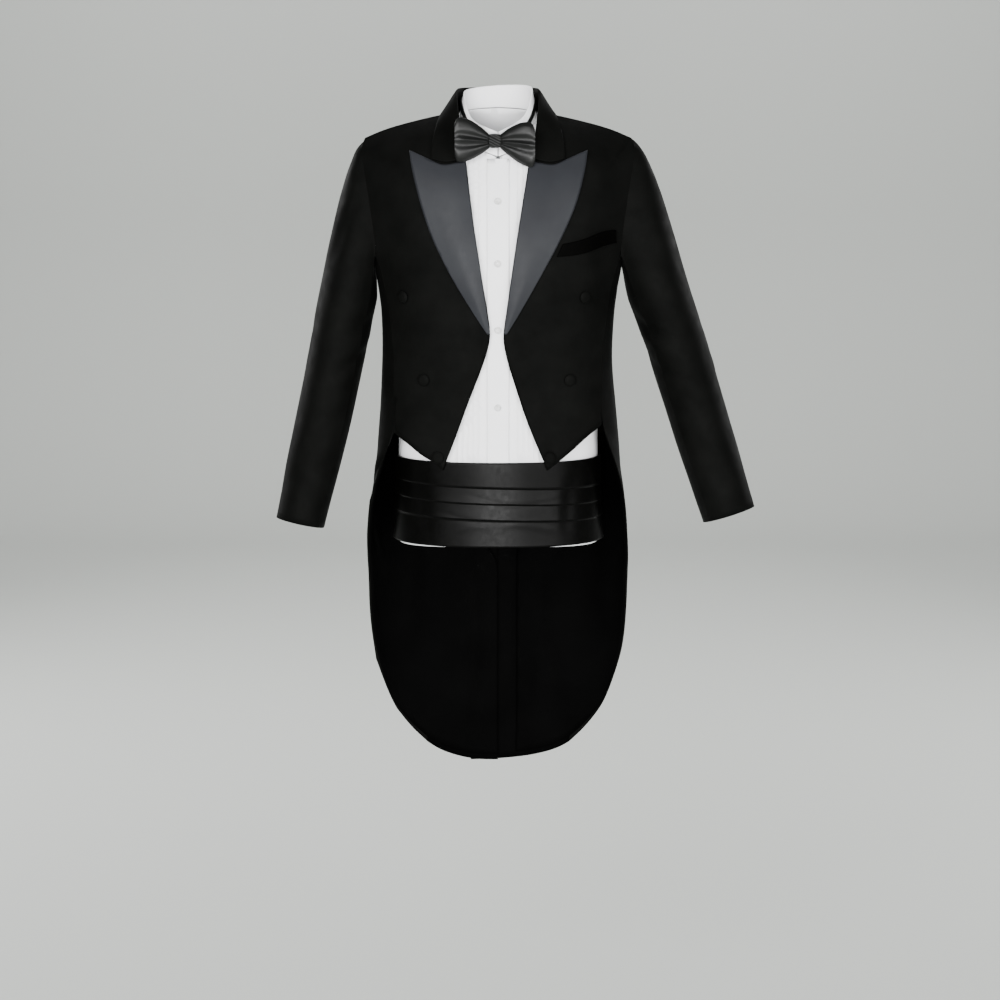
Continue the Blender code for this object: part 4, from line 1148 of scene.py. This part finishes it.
@dataclass
class DressShirt:
    """The shirt: tucked fronts, back, placket, standing collar, hidden sleeves and four buttons."""

    cotton: bpy.types.Material
    pearl: bpy.types.Material
    thread: bpy.types.Material
    tucks: Tucks = Tucks()
    near_cut: float = 0.05
    front_only: float = -0.02
    stitched_at: tuple[float, float] = (-0.0140, 0.0140)
    stitched_from: float = -0.078
    stitched_to: float = -0.560
    cross: float = 0.0011
    front: Cut = Cut(0.290, 0.715, 0.74)
    back: Cut = Cut(0.520, 0.720, 0.81)
    sleeve: Cut = Cut(0.300, 0.560, 0.82)
    strip: Cut = Cut(0.036, 0.502, 1.0)
    stand: Cut = Cut(0.360, 0.046, 0.80, Held.FOLDED)
    button: Button = field(default_factory=lambda: Button(0.0055, 0.0022, PEARL_PROFILE, 32))

    def worn(self, side: float = 0.0) -> WornMap:
        """The shirt's worn map."""
        return trunk(side, SHIRT_CREASES)

    def build(self) -> list[bpy.types.Object]:
        """The shirt.

        Returns:
            The pieces.
        """
        made = [self.tucked_front(name) for name in ("left", "right")]
        made.append(sewn_copy("shirt_back", self.worn(1.0), self.cotton, self.back))
        for name in ("left", "right"):
            line = ARM_LINE_LEFT if name == "left" else ARM_LINE_RIGHT
            arm = WornMap(line, 0.040)
            made.append(sewn_copy(f"shirt_sleeve_{name}", arm, self.cotton, self.sleeve))
        placket = sewn_copy("shirt_placket", self.worn(), self.cotton, self.strip)
        neck = WornMap(NECK_MIDDLE, 0.058)
        collar = sewn_copy("shirt_collar", neck, self.cotton, self.stand, 3)
        made += [placket, collar]
        names = [f"shirt_button_{number}" for number in range(1, 5)]
        buttons = [self.button.build(name, self.worn(), self.pearl, Slot.PEARL) for name in names]
        made += buttons + self.sewing(placket, buttons)
        return made

    def tucked_front(self, name: str) -> bpy.types.Object:
        """One front with its tucks worked in.

        Args:
            name: The side, left or right.

        Returns:
            The piece.
        """
        worn = self.worn()
        mesh = subdivided(merged_copy(f"shirt_front_{name}"), 2)
        shape = bmesh.new()
        shape.from_mesh(mesh)
        bpy.data.meshes.remove(mesh)
        sign = 1.0 if name == "left" else -1.0
        for reach in self.tucks.cuts():
            x = sign * reach
            near = [face for face in shape.faces if abs(face.calc_center_median().x - x) < self.near_cut]
            near = [face for face in near if face.calc_center_median().y < self.front_only]
            edges = {edge for face in near for edge in face.edges}
            around = edges | {vert for face in near for vert in face.verts}
            bmesh.ops.bisect_plane(
                shape,
                geom=near + list(around),
                dist=1e-6,
                plane_co=(x, 0, 0),
                plane_no=(1, 0, 0),
            )
        mesh = bpy.data.meshes.new(name)
        shape.to_mesh(mesh)
        shape.free()
        add_cloth_map(mesh, worn)
        points = points_of(mesh)
        lift = self.tucks.lift(points)
        points = worn.worked(points)
        points[:, 1] -= lift
        set_points(mesh, points)
        item = finished(f"shirt_front_{name}_cloth", mesh, self.cotton)
        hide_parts(f"shirt_front_{name}")
        self.front.declare(item)
        return item

    def sewing(self, placket: bpy.types.Object, buttons: list[bpy.types.Object]) -> list[bpy.types.Object]:
        """The placket's two rows of topstitching and the thread crosses of the buttons.

        Args:
            placket: The finished placket.
            buttons: The finished buttons.

        Returns:
            The pieces.
        """
        surface = Surface(placket)
        rows = [evenly(((x, self.stitched_from), (x, self.stitched_to))) for x in self.stitched_at]
        rows = [surface.front_line(row) for row in rows]
        line = StitchLine("placket_topstitch").sew(rows, self.thread)
        crosses = []
        for button in buttons:
            x, _, z = points_of(button.data).mean(axis=0)
            for slope in (1.0, -1.0):
                rise = slope * self.cross
                ends = [(x - self.cross, z - rise), (x + self.cross, z + rise)]
                crosses.append(Surface(button).front_line(ends, 0.0002))
        thread = StitchLine("shirt_button_threads", 0.0029, 0.0030, 0.0006)
        return [line, thread.sew(crosses, self.thread)]


# Cummerbund and bow tie


@dataclass
class Cummerbund:
    """Pleated satin front and its plain back strap."""

    satin: bpy.types.Material
    front: Cut = Cut(0.385, 0.165, 0.97, Held.STRETCHED)
    strap: Cut = Cut(0.480, 0.052, 0.96, Held.STRETCHED)
    creases: tuple[Crease, ...] = (
        Crease((-0.130, -0.632), (0.080, -0.640), 0.0050, -0.0005),
        Crease((-0.090, -0.660), (0.150, -0.668), 0.0060, 0.0005),
        Crease((-0.070, -0.603), (0.150, -0.611), 0.0045, -0.0005),
        Crease((-0.168, -0.560), (-0.150, -0.680), 0.0140, -0.0018),
        Crease((0.172, -0.560), (0.150, -0.684), 0.0140, -0.0018),
    )

    def build(self) -> list[bpy.types.Object]:
        """Both pieces of the cummerbund.

        Returns:
            The pieces.
        """
        worn = trunk(0.0, self.creases)
        plain = trunk(1.0, ())
        return [
            sewn_copy("cummerbund_front", worn, self.satin, self.front, 3),
            sewn_copy("cummerbund_strap", plain, self.satin, self.strap),
        ]


@dataclass(frozen=True)
class WingFold:
    """One fold that fans out of the knot: its direction from straight out, its spread and its depth."""

    turn: float
    spread: float
    depth: float


@dataclass
class BowTie:
    """The bow tie: two folded wings, the knot and the neck band.

    Reaches run out from the knot. The folds grow from the root over their run, and die away at the wing's
    end and round its edge. The wing's inner edge is tucked in under the knot.
    """

    satin: bpy.types.Material
    centre: tuple[float, float, float] = (-0.005, -0.0835, -0.0450)
    tilt: float = 0.090
    lean: float = 0.25
    fold_root: float = 0.008
    fold_run: float = 0.030
    wing_end: float = 0.066
    end_run: float = 0.010
    edge_run: float = 0.002
    tuck: float = 0.0035
    tuck_root: float = 0.0109
    tuck_run: float = 0.014
    knot_pitch: float = 0.0085
    knot_fold: float = 0.0009
    knot_edge_run: float = 0.004
    band: Cut = Cut(0.330, 0.014, 0.85, Held.STRETCHED)
    folds: tuple[WingFold, ...] = (
        WingFold(23.0, 15.0, 0.0005),
        WingFold(-1.5, 4.6, 0.0013),
        WingFold(-27.0, 15.0, 0.0005),
    )

    def build(self) -> list[bpy.types.Object]:
        """The bow tie.

        Returns:
            The pieces.
        """
        around = WornMap(NECK_MIDDLE, 0.065, ripple=0.0003)
        made = [self.folded_wing("right", -1.0, around), self.folded_wing("left", 1.0, around)]
        made.append(self.wrapped_knot(around))
        made.append(sewn_copy("bow_band", around, self.satin, self.band))
        return made

    def folded_wing(self, name: str, side: float, around: WornMap) -> bpy.types.Object:
        """One wing with its folds fanning out of the knot.

        Args:
            name: The side, left or right.
            side: 1 for the wearer's left, -1 for the right.
            around: The worn map for its cloth.

        Returns:
            The piece.
        """
        mesh = subdivided(merged_copy(f"bow_wing_{name}"), 3)
        add_cloth_map(mesh, around)
        points = points_of(mesh)
        out = (points[:, 0] - self.centre[0]) * side
        up = points[:, 2] - self.centre[2] + self.tilt * out * side
        turn = np.degrees(np.arctan2(up, out))
        reach = np.hypot(out, up)
        share = np.clip((reach - self.fold_root) / self.fold_run, 0.0, 1.0) ** 0.8
        end = np.clip((self.wing_end - out) / self.end_run, 0.35, 1.0)
        shift = np.zeros(len(points))
        for k, fold in enumerate(self.folds):
            wander = 1.5 * math.sin(1.9 * k + side)
            shift += fold.depth * np.exp(-(((turn - fold.turn - wander) / fold.spread) ** 2))
        middle = self.centre[1] - self.lean * out
        front = np.clip((middle - points[:, 1]) / self.edge_run, 0.15, 1.0)
        points[:, 1] -= shift * share * end * front
        tucked = np.clip(1.0 - (out - self.tuck_root) / self.tuck_run, 0.0, 1.0)
        points[:, 0] -= side * self.tuck * tucked
        set_points(mesh, points)
        item = finished(f"bow_wing_{name}_cloth", mesh, self.satin)
        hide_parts(f"bow_wing_{name}")
        return item

    def wrapped_knot(self, around: WornMap) -> bpy.types.Object:
        """The knot, with its slanting wrap folds."""
        mesh = subdivided(merged_copy("bow_knot"), 3)
        add_cloth_map(mesh, around)
        points = points_of(mesh)
        across = points[:, 0] - self.centre[0]
        up = points[:, 2] - self.centre[2]
        slant = np.sin((across * 0.5 + up) * 2 * math.pi / self.knot_pitch + 0.6)
        front = np.clip((self.centre[1] - points[:, 1]) / self.knot_edge_run, 0.0, 1.0)
        points[:, 1] -= self.knot_fold * slant * front
        set_points(mesh, points)
        item = finished("bow_knot_cloth", mesh, self.satin)
        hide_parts("bow_knot")
        return item


# The studio


@dataclass(frozen=True)
class Lamp:
    """One soft square light: where it stands, what it faces, its side in metres and its power in watts."""

    name: str
    place: tuple[float, float, float]
    aim: tuple[float, float, float]
    size: float
    power: float

    def hang(self) -> None:
        """Puts the light in the scene."""
        lamp = bpy.data.lights.new(self.name, "AREA")
        lamp.size = self.size
        lamp.energy = self.power
        item = bpy.data.objects.new(self.name, lamp)
        item.location = self.place
        item.rotation_mode = "QUATERNION"
        item.rotation_quaternion = (Vector(self.aim) - Vector(self.place)).to_track_quat("-Z", "Y")
        bpy.context.scene.collection.objects.link(item)


LAMPS = (
    Lamp("key", (-1.4, -3.4, 0.7), (0.0, 0.0, -0.35), 2.2, 185.0),
    Lamp("fill", (2.0, -3.2, 0.2), (0.0, 0.0, -0.45), 2.2, 135.0),
    Lamp("front", (0.0, -4.0, -0.55), (0.0, 0.0, -0.45), 0.9, 125.0),
    Lamp("wall_wash", (0.0, 2.6, 3.4), (0.0, 6.5, -0.2), 3.0, 290.0),
    Lamp("back_left", (-2.9, 2.6, 0.5), (0.0, 0.0, -0.40), 1.6, 120.0),
    Lamp("back_right", (2.9, 2.6, 0.5), (0.0, 0.0, -0.40), 1.6, 90.0),
)


@dataclass
class Studio:
    """Plain pale sweep, soft lights and the camera."""

    floor: float = -1.70
    wall: float = 6.5
    wall_top: float = 6.5
    bend: float = 1.2
    bend_steps: int = 12
    half_width: float = 12.0
    floor_front: float = -9.0
    paper: tuple[float, float, float] = (0.47, 0.485, 0.465)
    camera_place: tuple[float, float, float] = (0.003, -4.0, 0.05)
    camera_tilt: float = 9.648
    lens: float = 89.06

    def build(self) -> None:
        """Everything that isn't part of the suit."""
        self.sweep()
        for lamp in LAMPS:
            lamp.hang()
        self.camera()
        self.surroundings()

    def sweep(self) -> None:
        """The floor that curves up into the wall."""
        foot = self.wall - self.bend
        path = [(foot, self.floor)]
        for k in range(1, self.bend_steps + 1):
            turn = math.pi / 2 * k / self.bend_steps
            rise = self.floor + self.bend - self.bend * math.cos(turn)
            path.append((foot + self.bend * math.sin(turn), rise))
        path.append((self.wall, self.wall_top))
        shape = bmesh.new()
        ends = [(x, self.floor_front, self.floor) for x in (-self.half_width, self.half_width)]
        back = [shape.edges.new([shape.verts.new(end) for end in ends])]
        for y, z in path:
            made = bmesh.ops.extrude_edge_only(shape, edges=back)["geom"]
            for vert in (part for part in made if isinstance(part, bmesh.types.BMVert)):
                vert.co.y = y
                vert.co.z = z
            back = [part for part in made if isinstance(part, bmesh.types.BMEdge)]
        mesh = bpy.data.meshes.new("sweep")
        shape.to_mesh(mesh)
        shape.free()
        mesh.shade_smooth()
        sheet = NodeSheet("paper")
        sheet.shader.inputs["Base Color"].default_value = (*self.paper, 1.0)
        sheet.shader.inputs["Roughness"].default_value = 0.9
        mesh.materials.append(sheet.material)
        item = bpy.data.objects.new("sweep", mesh)
        bpy.context.scene.collection.objects.link(item)

    def camera(self) -> None:
        """The camera at the photograph's place and angle."""
        data = bpy.data.cameras.new("camera")
        data.lens = self.lens
        data.sensor_width = 36.0
        item = bpy.data.objects.new("camera", data)
        item.location = self.camera_place
        item.rotation_euler = (math.radians(90.0 - self.camera_tilt), 0.0, 0.0)
        bpy.context.scene.collection.objects.link(item)
        bpy.context.scene.camera = item

    def surroundings(self) -> None:
        """Soft even light from all round."""
        world = bpy.data.worlds.new("soft")
        world.use_nodes = True
        sky = world.node_tree.nodes["Background"].inputs
        sky["Color"].default_value = (0.92, 0.94, 0.93, 1.0)
        sky["Strength"].default_value = 0.30
        bpy.context.scene.world = world


def clear_startup() -> None:
    """Removes the startup scene's objects that the frame didn't bring."""
    for item in list(bpy.data.objects):
        if item.name in ("Cube", "Light", "Camera"):
            bpy.data.objects.remove(item)


def main() -> None:
    """Builds the suit and the studio, and reports each piece."""
    logging.basicConfig(level=logging.INFO, format="%(message)s")
    clear_startup()
    wool = WoolFinish().make()
    lapel_satin, black_satin, bow_satin, lining = (
        finish.make() for finish in (LAPEL_SATIN, BLACK_SATIN, BOW_SATIN, LINING)
    )
    cotton = CottonFinish().make()
    pearl = PearlFinish().make()
    thread = ThreadFinish("white_thread", (0.78, 0.78, 0.80)).make()
    parts = [
        Tailcoat(wool, lining),
        Sleeves(wool),
        Facings(wool, lapel_satin, WELT_SATIN_PAINTED_SHADE.make()),
        CoatButtons(wool),
        DressShirt(cotton, pearl, thread),
        Cummerbund(black_satin),
        BowTie(bow_satin),
    ]
    for part in parts:
        pieces = part.build()
        LOG.info("%s: %d pieces", type(part).__name__, len(pieces))
    Studio().build()


if __name__ == "__main__":
    main()
